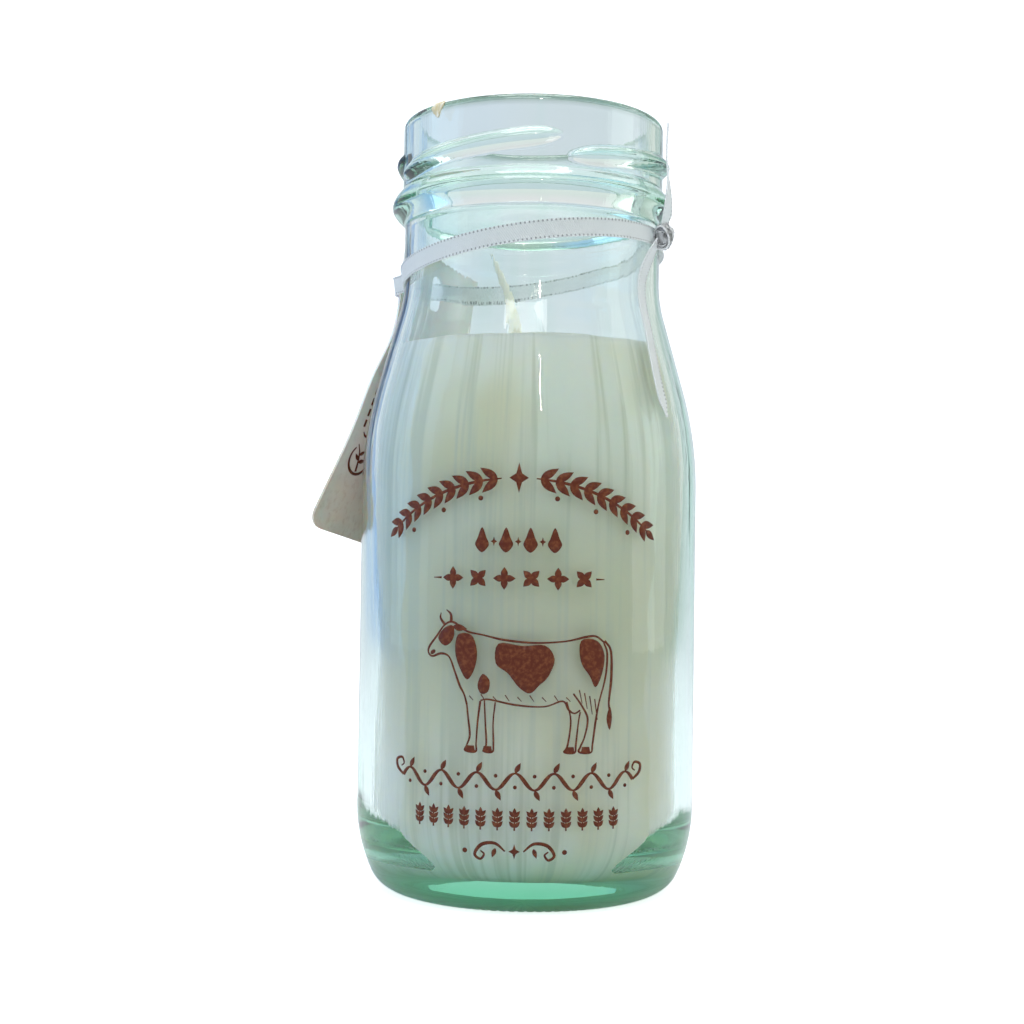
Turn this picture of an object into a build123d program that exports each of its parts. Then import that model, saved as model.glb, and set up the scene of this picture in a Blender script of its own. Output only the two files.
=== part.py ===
from build123d import *
import math
import os

os.makedirs("parts", exist_ok=True)

# A small glass milk bottle with a candle poured in it, a ribbon round its neck and a card swing tag.
# Millimetres. Z is the bottle's axis and z = 0 the surface it stands on. The decorated front faces -Y.
# Azimuths are in degrees, 0 at the front, positive towards +X.

# ---- bottle, outside
TOTAL_HEIGHT = 137.0
BODY_R = 30.0
RING_IN_R = 18.0
RING_OUT_R = 22.0
PUSH_UP_HEIGHT = 1.6
HEEL_LOW_R = 6.0
HEEL_HIGH_R = 27.25
HEEL_TOP_Z = 15.0
SHOULDER_START_Z = 71.0
SHOULDER_R = 66.0
NECK_R = 23.0
NECK_FILLET_R = 25.0
NECK_START_Z = 108.5
BEAD_BOTTOM_Z = 118.4
BEAD_TOP_Z = 124.6
BEAD_R = 25.3
FINISH_R = 23.45

# ---- bottle, inside
BORE_R = 20.75
BORE_BOTTOM_Z = 118.6
BORE_STEP_DROP = 1.2
WALL = 2.5
FLOOR_Z = 6.0
FLOOR_FILLET_R = 10.0

# ---- twist-off lugs: tilted rounded bars, one every quarter turn
LUG_COUNT = 4
LUG_BAR_R = 1.6
LUG_PEAK_R = 24.7
LUG_SPAN = 80.0
LUG_RISE = 3.3
LUG_MID_Z = 128.1
FIRST_LUG_AZIMUTH = -31.5

# ---- candle
WAX_TOP_Z = 96.0
PAD_R = 6.0
PAD_THICK = 0.8
DISC_R = 7.5
DISC_THICK = 0.3
COLLAR_R = 2.1
COLLAR_HEIGHT = 4.0
WICK_WIDE = 2.1
WICK_THICK = 1.0
WICK_TURN_X = -2.0
WICK_TURN_Z = 96.5
WICK_TIP_X = -7.7
WICK_TIP_Z = 113.8
WICK_BEND_R = 45.0

# ---- ribbon
RIBBON_WIDE = 3.6
RIBBON_THICK = 0.3
RIBBON_MID_R = 23.5
RIBBON_MID_Z = 111.8
RIBBON_RISE = 3.57
RIBBON_HIGH_AZIMUTH = 60.0
GLASS_GAP = 0.35

# ---- knot
KNOT_AZIMUTH = 68.0
KNOT_Z = 115.8
KNOT_SIZE = (3.0, 4.4, 4.6)
KNOT_IN_R = 23.35
KNOT_ROUND = 1.3

# ---- upper tail: radius and height of its middle line
UPPER_TAIL_AZIMUTH = 65.5
UPPER_TAIL_LINE = [(25.2, 116.6), (25.9, 120.0), (25.95, 124.4), (25.5, 129.6), (25.75, 135.2)]

# ---- lower tail: azimuth and height of its middle line, down the neck and the shoulder
LOWER_TAIL_ROUTE = [
    (63.8, 114.1),
    (57.5, 111.2),
    (53.2, 107.6),
    (51.6, 103.2),
    (52.0, 98.2),
    (51.0, 93.0),
    (50.4, 87.9),
    (52.2, 83.0),
]
LOWER_TAIL_FACING = 55.0
LOWER_TAIL_LIFT = 0.7
LOWER_TAIL_LIFT_Z = 111.6

# ---- swing tag: u runs along its width, v down its length, both from the hole's centre
TAG_WIDE = 24.0
TAG_LONG = 55.0
TAG_THICK = 0.45
TAG_CORNER_R = 3.0
TAG_HOLE_R = 3.0
TAG_HOLE_TO_SIDE = 8.2
TAG_HOLE_TO_TOP = 7.0
TAG_AZIMUTH = -121.5
TAG_HOLE_PLANE_R = 24.5
TAG_HOLE_Z = 108.2
TAG_LEAN = 14.4
TAG_BEND_R = 220.0
TAG_HANG_ANGLE = 10.5

# ---- the ribbon's way through the tag: distance along the tag and out from the axis
THREAD_IN = (-2.2, 23.4)
THREAD_OUT = (2.0, 25.45)
THREAD_CORNER = (9.2, 25.35)
THREAD_BEND_R = 0.8


def at_azimuth(azimuth, radius, z=0.0):
    """Give the point at an azimuth, a radius and a height."""
    turn = math.radians(azimuth)
    return Vector(radius * math.sin(turn), -radius * math.cos(turn), z)


def tangent_angle(r_low, r_high):
    """Give the angle at which the line between two opposed arcs leaves the lower one."""
    across = NECK_R + NECK_FILLET_R - (BODY_R - SHOULDER_R)
    up = NECK_START_Z - SHOULDER_START_Z
    return math.atan2(up, across) - math.acos((r_low + r_high) / math.hypot(across, up))


def shoulder_edges(offset):
    """Draw shoulder, slope and neck fillet in XZ, moved off the glass's outside by an offset."""
    r_low = SHOULDER_R + offset
    r_high = NECK_FILLET_R - offset
    low = (BODY_R - SHOULDER_R, SHOULDER_START_Z)
    high = (NECK_R + NECK_FILLET_R, NECK_START_Z)
    lean = tangent_angle(r_low, r_high)

    def on_low(angle):
        return (low[0] + r_low * math.cos(angle), 0, low[1] + r_low * math.sin(angle))

    def on_high(angle):
        return (high[0] - r_high * math.cos(angle), 0, high[1] - r_high * math.sin(angle))

    return [
        ThreePointArc(on_low(0), on_low(lean / 2), on_low(lean)),
        Line(on_low(lean), on_high(lean)),
        ThreePointArc(on_high(lean), on_high(lean / 2), on_high(0)),
    ]


def glass_radius(z):
    """Give the glass's outside radius on the shoulder and the neck."""
    lean = tangent_angle(SHOULDER_R, NECK_FILLET_R)
    slope_bottom = SHOULDER_START_Z + SHOULDER_R * math.sin(lean)
    slope_top = NECK_START_Z - NECK_FILLET_R * math.sin(lean)
    if z >= NECK_START_Z:
        return NECK_R
    if z > slope_top:
        return NECK_R + NECK_FILLET_R - math.sqrt(NECK_FILLET_R**2 - (NECK_START_Z - z) ** 2)
    if z > slope_bottom:
        return BODY_R - SHOULDER_R * (1 - math.cos(lean)) - (z - slope_bottom) * math.tan(lean)
    return BODY_R - SHOULDER_R + math.sqrt(SHOULDER_R**2 - (z - SHOULDER_START_Z) ** 2)


def turned(edges):
    """Turn a closed half profile in XZ about the bottle's axis."""
    return revolve(make_face(Wire(edges)), Axis.Z)


def outer_form():
    """Make the bottle's outside as a full solid, without its lugs."""
    rim_mid = (FINISH_R + BORE_R) / 2
    rim_r = (FINISH_R - BORE_R) / 2
    high_centre = (BODY_R - HEEL_HIGH_R, HEEL_TOP_Z)
    low_centre = (RING_OUT_R, HEEL_LOW_R)
    meet = math.atan2(low_centre[1] - high_centre[1], low_centre[0] - high_centre[0])

    def on_heel(angle, centre, radius):
        return (centre[0] + radius * math.cos(angle), 0, centre[1] + radius * math.sin(angle))

    low_mid = (meet - math.pi / 2) / 2
    edges = [
        ThreePointArc((0, 0, PUSH_UP_HEIGHT), (RING_IN_R / 2, 0, push_up_z(RING_IN_R / 2)), (RING_IN_R, 0, 0)),
        Line((RING_IN_R, 0, 0), (RING_OUT_R, 0, 0)),
        ThreePointArc(
            (RING_OUT_R, 0, 0),
            on_heel(low_mid, low_centre, HEEL_LOW_R),
            on_heel(meet, low_centre, HEEL_LOW_R),
        ),
        ThreePointArc(
            on_heel(meet, low_centre, HEEL_LOW_R),
            on_heel(meet / 2, high_centre, HEEL_HIGH_R),
            (BODY_R, 0, HEEL_TOP_Z),
        ),
        Line((BODY_R, 0, HEEL_TOP_Z), (BODY_R, 0, SHOULDER_START_Z)),
        *shoulder_edges(0.0),
        Line((NECK_R, 0, NECK_START_Z), (NECK_R, 0, BEAD_BOTTOM_Z)),
        ThreePointArc(
            (NECK_R, 0, BEAD_BOTTOM_Z),
            (BEAD_R, 0, (BEAD_BOTTOM_Z + BEAD_TOP_Z) / 2),
            (FINISH_R, 0, BEAD_TOP_Z),
        ),
        Line((FINISH_R, 0, BEAD_TOP_Z), (FINISH_R, 0, TOTAL_HEIGHT - rim_r)),
        ThreePointArc(
            (FINISH_R, 0, TOTAL_HEIGHT - rim_r),
            (rim_mid + rim_r * math.sqrt(0.5), 0, TOTAL_HEIGHT - rim_r * (1 - math.sqrt(0.5))),
            (rim_mid, 0, TOTAL_HEIGHT),
        ),
        ThreePointArc(
            (rim_mid, 0, TOTAL_HEIGHT),
            (rim_mid - rim_r * math.sqrt(0.5), 0, TOTAL_HEIGHT - rim_r * (1 - math.sqrt(0.5))),
            (BORE_R, 0, TOTAL_HEIGHT - rim_r),
        ),
        Line((BORE_R, 0, TOTAL_HEIGHT - rim_r), (0, 0, TOTAL_HEIGHT - rim_r)),
        Line((0, 0, TOTAL_HEIGHT - rim_r), (0, 0, PUSH_UP_HEIGHT)),
    ]
    return turned(edges)


def push_up_z(radius):
    """Give the height of the shallow domed push-up under the bottle at a radius."""
    dome_r = (RING_IN_R**2 + PUSH_UP_HEIGHT**2) / (2 * PUSH_UP_HEIGHT)
    return PUSH_UP_HEIGHT - dome_r + math.sqrt(dome_r**2 - radius**2)


def cavity_form():
    """Make the space inside the bottle as a solid, from its floor to past its mouth."""
    inner_body_r = BODY_R - WALL
    inner_neck_r = NECK_R - WALL
    fillet_mid = FLOOR_FILLET_R * math.sqrt(0.5)
    fillet_x = inner_body_r - FLOOR_FILLET_R
    fillet_z = FLOOR_Z + FLOOR_FILLET_R
    edges = [
        Line((0, 0, FLOOR_Z), (fillet_x, 0, FLOOR_Z)),
        ThreePointArc(
            (fillet_x, 0, FLOOR_Z),
            (fillet_x + fillet_mid, 0, fillet_z - fillet_mid),
            (inner_body_r, 0, fillet_z),
        ),
        Line((inner_body_r, 0, fillet_z), (inner_body_r, 0, SHOULDER_START_Z)),
        *shoulder_edges(-WALL),
        Line((inner_neck_r, 0, NECK_START_Z), (inner_neck_r, 0, BORE_BOTTOM_Z - BORE_STEP_DROP)),
        Line((inner_neck_r, 0, BORE_BOTTOM_Z - BORE_STEP_DROP), (BORE_R, 0, BORE_BOTTOM_Z)),
        Line((BORE_R, 0, BORE_BOTTOM_Z), (BORE_R, 0, TOTAL_HEIGHT)),
        Line((BORE_R, 0, TOTAL_HEIGHT), (0, 0, TOTAL_HEIGHT)),
        Line((0, 0, TOTAL_HEIGHT), (0, 0, FLOOR_Z)),
    ]
    return turned(edges)


def lug(azimuth):
    """Make one twist-off lug: part of a tilted ring, rising to the right, with round ends."""
    ring_r = LUG_PEAK_R - LUG_BAR_R
    half = math.radians(LUG_SPAN / 2)
    tilt = math.degrees(math.asin(LUG_RISE / (2 * ring_r * math.sin(half))))
    start = at_azimuth(-LUG_SPAN / 2, ring_r)
    end = at_azimuth(LUG_SPAN / 2, ring_r)
    section = Plane(origin=start, x_dir=start.normalized(), z_dir=(math.cos(half), -math.sin(half), 0))
    bar = revolve(section * Circle(LUG_BAR_R), Axis.Z, revolution_arc=LUG_SPAN)
    bar += Pos(start) * Sphere(LUG_BAR_R)
    bar += Pos(end) * Sphere(LUG_BAR_R)
    return Rot(0, 0, azimuth) * Pos(0, 0, LUG_MID_Z) * Rot(0, -tilt, 0) * bar


def glass_bottle(cavity):
    """Make the bottle with its lugs."""
    bottle = outer_form()
    for turn in range(LUG_COUNT):
        bottle += lug(FIRST_LUG_AZIMUTH + turn * 360 / LUG_COUNT)
    return bottle - cavity


def flat_sweep(path, across, width, thick):
    """Sweep a flat section along a path; the width lies along the direction across."""
    section = Plane(origin=path @ 0, x_dir=across, z_dir=path % 0)
    return sweep(section * Rectangle(width, thick), path=path)


def arc_radii(points):
    """Give each corner of a route the largest arc its two runs allow."""
    radii = []
    for before, here, after in zip(points, points[1:], points[2:]):
        run_in = Vector(*here) - Vector(*before)
        run_out = Vector(*after) - Vector(*here)
        half_turn = math.radians(run_in.get_angle(run_out)) / 2
        radii.append(0.45 * min(run_in.length, run_out.length) / math.tan(half_turn))
    return radii


def wick(pad):
    """Make the flat wick, from the adhesive pad to its leaning tip."""
    foot = (0, 0, FLOOR_Z + PAD_THICK)
    path = FilletPolyline(
        foot,
        (WICK_TURN_X, 0, WICK_TURN_Z),
        (WICK_TIP_X, 0, WICK_TIP_Z),
        radius=WICK_BEND_R,
    )
    return flat_sweep(path, (0, 1, 0), WICK_THICK, WICK_WIDE) - pad


def wick_sustainer(wick_solid):
    """Make the tin disc and its collar, crimped on the wick."""
    disc_z = FLOOR_Z + PAD_THICK
    align = (Align.CENTER, Align.CENTER, Align.MIN)
    disc = Pos(0, 0, disc_z) * Cylinder(DISC_R, DISC_THICK, align=align)
    collar = Pos(0, 0, disc_z) * Cylinder(COLLAR_R, DISC_THICK + COLLAR_HEIGHT, align=align)
    return disc + collar - wick_solid


def adhesive_pad():
    """Make the round pad between the sustainer and the bottle's floor."""
    align = (Align.CENTER, Align.CENTER, Align.MIN)
    return Pos(0, 0, FLOOR_Z) * Cylinder(PAD_R, PAD_THICK, align=align)


def wax_fill(cavity, inside):
    """Make the wax: the cavity up to the fill line, without the pieces cast in it."""
    align = (Align.CENTER, Align.CENTER, Align.MAX)
    wax = cavity & (Pos(0, 0, WAX_TOP_Z) * Cylinder(BODY_R, WAX_TOP_Z, align=align))
    for piece in inside:
        wax -= piece
    return wax


def ribbon_plane():
    """Give the tilted plane that the ribbon's loop lies in."""
    rise = at_azimuth(RIBBON_HIGH_AZIMUTH, RIBBON_RISE / RIBBON_MID_R)
    return Plane(origin=(0, 0, RIBBON_MID_Z), z_dir=(-rise.X, -rise.Y, 1))


def beside_tag(along, out):
    """Give the plan point at a distance along the tag's width and out from the axis."""
    outward = at_azimuth(TAG_AZIMUTH, 1.0)
    forward = Vector(-outward.Y, outward.X, 0)
    return outward * out + forward * along


def neck_ribbon(knot):
    """Make the ribbon's loop: round the neck, over the tag's near side and through its hole."""
    corner = beside_tag(*THREAD_CORNER)
    corner_azimuth = math.degrees(math.atan2(corner.X, -corner.Y))
    touch = corner_azimuth + math.degrees(math.acos(RIBBON_MID_R / corner.length))
    leave = TAG_AZIMUTH + math.degrees(math.asin(THREAD_IN[0] / RIBBON_MID_R)) + 360
    start = at_azimuth(touch, RIBBON_MID_R)
    end = at_azimuth(leave, RIBBON_MID_R)
    through = beside_tag(*THREAD_OUT)
    round_neck = ThreePointArc(start, at_azimuth((touch + leave) / 2, RIBBON_MID_R), end)
    thread = FilletPolyline(end, through, corner, start, radius=THREAD_BEND_R)
    line = Wire([round_neck, *thread.edges()])
    face = make_face(offset(line, RIBBON_THICK / 2)) - make_face(offset(line, -RIBBON_THICK / 2))
    wall = Pos(0, 0, RIBBON_MID_Z - 10) * extrude(face, 20)
    slab = ribbon_plane() * Box(80, 80, RIBBON_WIDE)
    return (wall & slab) - knot


def ribbon_knot():
    """Make the ribbon's knot as a soft block that sits on the loop's inner radius."""
    deep, wide, tall = KNOT_SIZE
    block = fillet(Box(deep, wide, tall).edges(), KNOT_ROUND)
    centre_r = KNOT_IN_R + deep / 2
    place = Pos(at_azimuth(KNOT_AZIMUTH, centre_r, KNOT_Z)) * Rot(0, 0, KNOT_AZIMUTH - 90)
    return place * block - Pos(0, 0, KNOT_Z) * Cylinder(KNOT_IN_R + 0.05, 2 * tall)


def ribbon_tail_upper(knot):
    """Make the short tail that stands up in front of the bead and the lugs."""
    points = [at_azimuth(UPPER_TAIL_AZIMUTH, r, z) for r, z in UPPER_TAIL_LINE]
    radii = arc_radii([tuple(p) for p in points])
    path = FilletPolyline(*points, radius=radii)
    across = at_azimuth(UPPER_TAIL_AZIMUTH + 90, 1.0)
    print("upper tail: length %.1f, radii" % path.length, [round(r, 1) for r in radii])
    return flat_sweep(path, across, RIBBON_WIDE, RIBBON_THICK) - knot


def tail_shell_edges(gap):
    """Draw one side of the thin layer that the lower tail lies in, down the neck and the shoulder."""
    near = NECK_R + gap
    lifted = near + LOWER_TAIL_LIFT
    top = (lifted, 0, BEAD_BOTTOM_Z)
    edges = [
        Line(top, (lifted, 0, LOWER_TAIL_LIFT_Z)),
        Line((lifted, 0, LOWER_TAIL_LIFT_Z), (near, 0, NECK_START_Z)),
    ]
    return edges + list(reversed(shoulder_edges(gap)))


def ribbon_tail_lower(knot):
    """Make the long tail: a strip that lies just off the glass, on straight runs joined by arcs."""
    facing = at_azimuth(LOWER_TAIL_FACING, 1.0)
    middle_r = NECK_R + RIBBON_WIDE
    flat = []
    for azimuth, z in LOWER_TAIL_ROUTE:
        radius = glass_radius(z) + GLASS_GAP + RIBBON_THICK / 2
        sideways = radius * math.sin(math.radians(azimuth - LOWER_TAIL_FACING))
        flat.append(tuple(facing * middle_r + Vector(-facing.Y, facing.X, 0) * sideways + Vector(0, 0, z)))
    radii = arc_radii(flat)
    path = FilletPolyline(*[Vector(*p) for p in flat], radius=radii)
    prism = flat_sweep(path, facing, 4 * RIBBON_WIDE, RIBBON_WIDE)
    inner = tail_shell_edges(GLASS_GAP)
    outer = tail_shell_edges(GLASS_GAP + RIBBON_THICK)
    top = Line(inner[0] @ 0, outer[0] @ 0)
    bottom = Line(inner[-1] @ 0, outer[-1] @ 0)
    shell = turned([*inner, *outer, top, bottom])
    tail = (prism & shell) - knot
    lean = tangent_angle(SHOULDER_R, NECK_FILLET_R)
    print("lower tail: flat length %.1f, radii" % path.length, [round(r, 1) for r in radii])
    section = RIBBON_WIDE * RIBBON_THICK
    print("lower tail: volume %.2f, section times length %.2f" % (tail.volume, section * path.length))
    print("lower tail: slope stretches it by %.3f at most" % (1 / math.cos(lean)))
    return tail


def hang_tag():
    """Make the card: its outline cut from a sheet with a gentle bend, hung by its hole."""
    u_mid = TAG_HOLE_TO_SIDE - TAG_WIDE / 2
    v_mid = TAG_HOLE_TO_TOP - TAG_LONG / 2
    outline = Pos(u_mid, v_mid) * Rectangle(TAG_WIDE, TAG_LONG)
    outline = fillet(outline.vertices().sort_by(Axis.Y)[:2], TAG_CORNER_R)
    card = extrude(outline - Circle(TAG_HOLE_R), 4, both=True)
    # the sheet bends about a horizontal line half way from the hole to the bottom edge
    bend_v = (TAG_HOLE_TO_TOP - TAG_LONG) / 2
    sag = TAG_BEND_R - math.sqrt(TAG_BEND_R**2 - bend_v**2)
    side = Plane(origin=(u_mid, bend_v, TAG_BEND_R - sag), z_dir=(1, 0, 0))
    sheet_ring = Circle(TAG_BEND_R + TAG_THICK / 2) - Circle(TAG_BEND_R - TAG_THICK / 2)
    sheet = extrude(side * sheet_ring, TAG_WIDE, both=True)
    bent = card & sheet
    hung = Rot(0, 0, TAG_HANG_ANGLE) * bent
    leaning = Rot(90 - TAG_LEAN, 0, 0) * hung
    hole = at_azimuth(TAG_AZIMUTH, TAG_HOLE_PLANE_R, TAG_HOLE_Z)
    return Pos(hole) * Rot(0, 0, TAG_AZIMUTH) * leaning


def main():
    """Build every piece and write one STEP file for each."""
    cavity = cavity_form()
    knot = ribbon_knot()
    pad = adhesive_pad()
    wick_solid = wick(pad)
    sustainer = wick_sustainer(wick_solid)
    pieces = {
        "glass_bottle": glass_bottle(cavity),
        "wax_fill": wax_fill(cavity, [pad, sustainer, wick_solid]),
        "wick": wick_solid,
        "wick_sustainer": sustainer,
        "wick_adhesive_pad": pad,
        "neck_ribbon": neck_ribbon(knot),
        "ribbon_knot": knot,
        "ribbon_tail_upper": ribbon_tail_upper(knot),
        "ribbon_tail_lower": ribbon_tail_lower(knot),
        "hang_tag": hang_tag(),
    }
    for name, shape in pieces.items():
        export_step(shape, f"parts/{name}.step")


main()
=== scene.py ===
"""A small glass milk bottle with a poured candle, a satin ribbon and a card swing tag."""

import logging
import math
from dataclasses import dataclass
from enum import Enum
from typing import Any, Callable, Iterable, Sequence

import bmesh
import bpy
import numpy as np
from mathutils import Matrix, Vector, noise
from mathutils.geometry import delaunay_2d_cdt


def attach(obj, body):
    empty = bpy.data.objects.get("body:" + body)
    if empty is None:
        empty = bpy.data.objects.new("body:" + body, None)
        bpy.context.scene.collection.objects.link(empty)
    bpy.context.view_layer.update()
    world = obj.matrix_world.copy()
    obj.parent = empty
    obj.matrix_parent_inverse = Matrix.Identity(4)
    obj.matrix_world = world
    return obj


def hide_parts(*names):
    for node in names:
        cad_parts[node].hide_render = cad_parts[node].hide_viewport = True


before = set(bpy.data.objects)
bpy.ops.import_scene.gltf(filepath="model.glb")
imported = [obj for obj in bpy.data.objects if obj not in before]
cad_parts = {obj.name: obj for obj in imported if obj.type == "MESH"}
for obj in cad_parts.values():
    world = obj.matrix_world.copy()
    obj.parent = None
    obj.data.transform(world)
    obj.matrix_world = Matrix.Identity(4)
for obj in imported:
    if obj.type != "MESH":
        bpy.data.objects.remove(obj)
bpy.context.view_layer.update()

log = logging.getLogger("milk_bottle")

MM = 0.001
MERGE_GAP = 1e-5  # points of an outline this close, in millimetres, become one
FINEST_PEN = 0.06  # the thinnest printed line, in millimetres
LEAST_TRIANGLE = 1e-7  # twice the area of the smallest triangle kept, in square millimetres

Pair = tuple[float, float]
Outline = list[Pair]
Colour = tuple[float, float, float, float]


class Body(Enum):
    """The bodies that pieces ride on."""

    BOTTLE = "bottle"
    RIBBON = "ribbon"
    TAG = "tag"


class Slot(Enum):
    """The material slots of the record."""

    GLASS = "glass"
    WAX = "wax"
    WICK = "wick"
    SATIN = "satin"
    CARD = "card"
    INK = "ink"


# ---------------------------------------------------------------- shapes


def rgb(red: float, green: float, blue: float) -> Colour:
    """Give an opaque linear colour."""
    return (red, green, blue, 1.0)


def around(azimuth: Any, radius: Any, height: Any) -> np.ndarray:
    """Give points about the bottle's axis.

    Args:
        azimuth: Degrees, 0 at the decorated front and positive towards +X.
        radius: Distance from the axis in millimetres.
        height: Height in millimetres.

    Returns:
        The points in millimetres, with the last axis holding x, y and z.
    """
    turn = np.radians(azimuth)
    x, y, z = np.broadcast_arrays(radius * np.sin(turn), -radius * np.cos(turn), height)
    return np.stack([x, y, z], axis=-1)


def smooth_step(value: Any, low: float, high: float) -> Any:
    """Give 0 below low, 1 above high, and a smooth rise between them."""
    t = np.clip((value - low) / (high - low), 0.0, 1.0)
    return t * t * (3 - 2 * t)


def flowing(points: Sequence[Sequence[float]], steps: int, closed: bool = False) -> np.ndarray:
    """Draw a smooth line through points.

    Args:
        points: The points it passes through, of any dimension.
        steps: Samples between each pair of points.
        closed: True if the last point joins the first.

    Returns:
        The samples as an array.
    """
    given = np.array(points, float)
    if closed:
        padded = np.vstack([given[-1], given, given[:2]])
    else:
        padded = np.vstack([2 * given[0] - given[1], given, 2 * given[-1] - given[-2]])
    samples = []
    for a, b, c, d in zip(padded, padded[1:], padded[2:], padded[3:]):
        for t in np.arange(steps) / steps:
            square = (2 * a - 5 * b + 4 * c - d) * t**2
            cube = (3 * b - a - 3 * c + d) * t**3
            samples.append(0.5 * (2 * b + (c - a) * t + square + cube))
    if not closed:
        samples.append(given[-1])
    return np.array(samples)


def unit(vectors: np.ndarray) -> np.ndarray:
    """Give the vectors at length 1."""
    return vectors / np.maximum(np.linalg.norm(vectors, axis=-1, keepdims=True), 1e-12)


def run_along(path: np.ndarray) -> np.ndarray:
    """Give the distance along a line at each of its points."""
    return np.concatenate([[0.0], np.cumsum(np.linalg.norm(np.diff(path, axis=0), axis=1))])


def even(path: np.ndarray, step: float, closed: bool = False) -> np.ndarray:
    """Space a line's points evenly.

    Args:
        path: The line's points.
        step: The spacing wanted, which is adjusted to fit a whole number of times.
        closed: True if the last point joins the first.

    Returns:
        The evenly spaced points.
    """
    line = np.vstack([path, path[:1]]) if closed else path
    run = run_along(line)
    count = max(2, round(run[-1] / step))
    places = np.linspace(0.0, run[-1], count + 1)
    if closed:
        places = places[:-1]
    return np.stack([np.interp(places, run, line[:, k]) for k in range(line.shape[1])], axis=1)


def make_mesh(
    name: str,
    points: np.ndarray,
    faces: Sequence[Sequence[int]],
    uvs: Sequence[Sequence[Pair]] | None = None,
) -> bpy.types.Mesh:
    """Make a smooth shaded mesh with its faces turned outwards.

    Args:
        name: The mesh's name.
        points: Vertices in millimetres.
        faces: Vertex numbers of each face.
        uvs: For each face, the surface coordinates of its corners.

    Returns:
        The mesh, in metres.
    """
    mesh = bpy.data.meshes.new(name)
    mesh.from_pydata((np.asarray(points, float) * MM).tolist(), [], [list(f) for f in faces])
    if uvs is not None:
        layer = mesh.uv_layers.new(name="surface")
        layer.data.foreach_set("uv", [c for face in uvs for corner in face for c in corner])
    shaper = bmesh.new()
    shaper.from_mesh(mesh)
    bmesh.ops.recalc_face_normals(shaper, faces=shaper.faces)
    shaper.to_mesh(mesh)
    shaper.free()
    mesh.polygons.foreach_set("use_smooth", [True] * len(mesh.polygons))
    mesh.update()
    return mesh


def turned_mesh(
    name: str,
    profile: Sequence[Pair],
    segments: int,
    shaped: Callable[[np.ndarray, np.ndarray, np.ndarray], tuple[np.ndarray, np.ndarray]],
) -> bpy.types.Mesh:
    """Turn a half profile about the axis and shape it.

    Args:
        name: The mesh's name.
        profile: Radius and height of each point; the first and the last lie on the axis.
        segments: Steps round the axis.
        shaped: Takes azimuth, radius and height grids and gives the new radius and height.

    Returns:
        The closed mesh.
    """
    rings = np.array(profile[1:-1], float)
    azimuth = np.arange(segments) * 360.0 / segments
    grid_a, grid_r = np.meshgrid(azimuth, rings[:, 0])
    grid_z = np.repeat(rings[:, 1:2], segments, axis=1)
    grid_r, grid_z = shaped(grid_a, grid_r, grid_z)
    body = around(grid_a, grid_r, grid_z).reshape(-1, 3)
    ends = np.array([[0, 0, profile[0][1]], [0, 0, profile[-1][1]]], float)
    points = np.vstack([body, ends])
    run = run_along(rings)
    faces, uvs = [], []
    for i in range(len(rings) - 1):
        low, high = i * segments, (i + 1) * segments
        for j in range(segments):
            k = (j + 1) % segments
            faces.append((low + j, low + k, high + k, high + j))
            u, w = j / segments, (j + 1) / segments
            uvs.append(((u, run[i]), (w, run[i]), (w, run[i + 1]), (u, run[i + 1])))
    first, last = len(body), len(body) + 1
    top = (len(rings) - 1) * segments
    for j in range(segments):
        k = (j + 1) % segments
        u, w = j / segments, (j + 1) / segments
        faces.append((first, k, j))
        uvs.append(((u, -1.0), (w, 0.0), (u, 0.0)))
        faces.append((last, top + j, top + k))
        uvs.append(((u, run[-1] + 1), (u, run[-1]), (w, run[-1])))
    return make_mesh(name, points, faces, uvs)


def tube_mesh(
    name: str,
    rings: np.ndarray,
    run: np.ndarray,
    across: np.ndarray,
    closed: bool = False,
) -> bpy.types.Mesh:
    """Skin a row of rings, each with as many points, into a closed form.

    Args:
        name: The mesh's name.
        rings: Points by ring and place round it, in millimetres.
        run: Distance along the form at each ring.
        across: Surface coordinate of each place round a ring.
        closed: True if the last ring joins the first; open ends are capped.

    Returns:
        The closed mesh.
    """
    count, sides = rings.shape[:2]
    points = rings.reshape(-1, 3)
    faces, uvs = [], []
    run_end = np.append(run, run[-1] + (run[1] - run[0]))
    for i in range(count if closed else count - 1):
        n = (i + 1) % count
        for j in range(sides):
            k = (j + 1) % sides
            faces.append((i * sides + j, i * sides + k, n * sides + k, n * sides + j))
            a, b, low, high = across[j], across[k], run_end[i], run_end[i + 1]
            uvs.append(((low, a), (low, b), (high, b), (high, a)))
    if not closed:
        middle = [rings[0].mean(axis=0), rings[-1].mean(axis=0)]
        points = np.vstack([points, middle])
        caps = ((len(points) - 2, 0, run[0]), (len(points) - 1, count - 1, run[-1]))
        for end, ring, where in caps:
            for j in range(sides):
                k = (j + 1) % sides
                faces.append((end, ring * sides + j, ring * sides + k))
                uvs.append(((where, 0.0), (where, across[j]), (where, across[k])))
    return make_mesh(name, points, faces, uvs)


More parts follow.
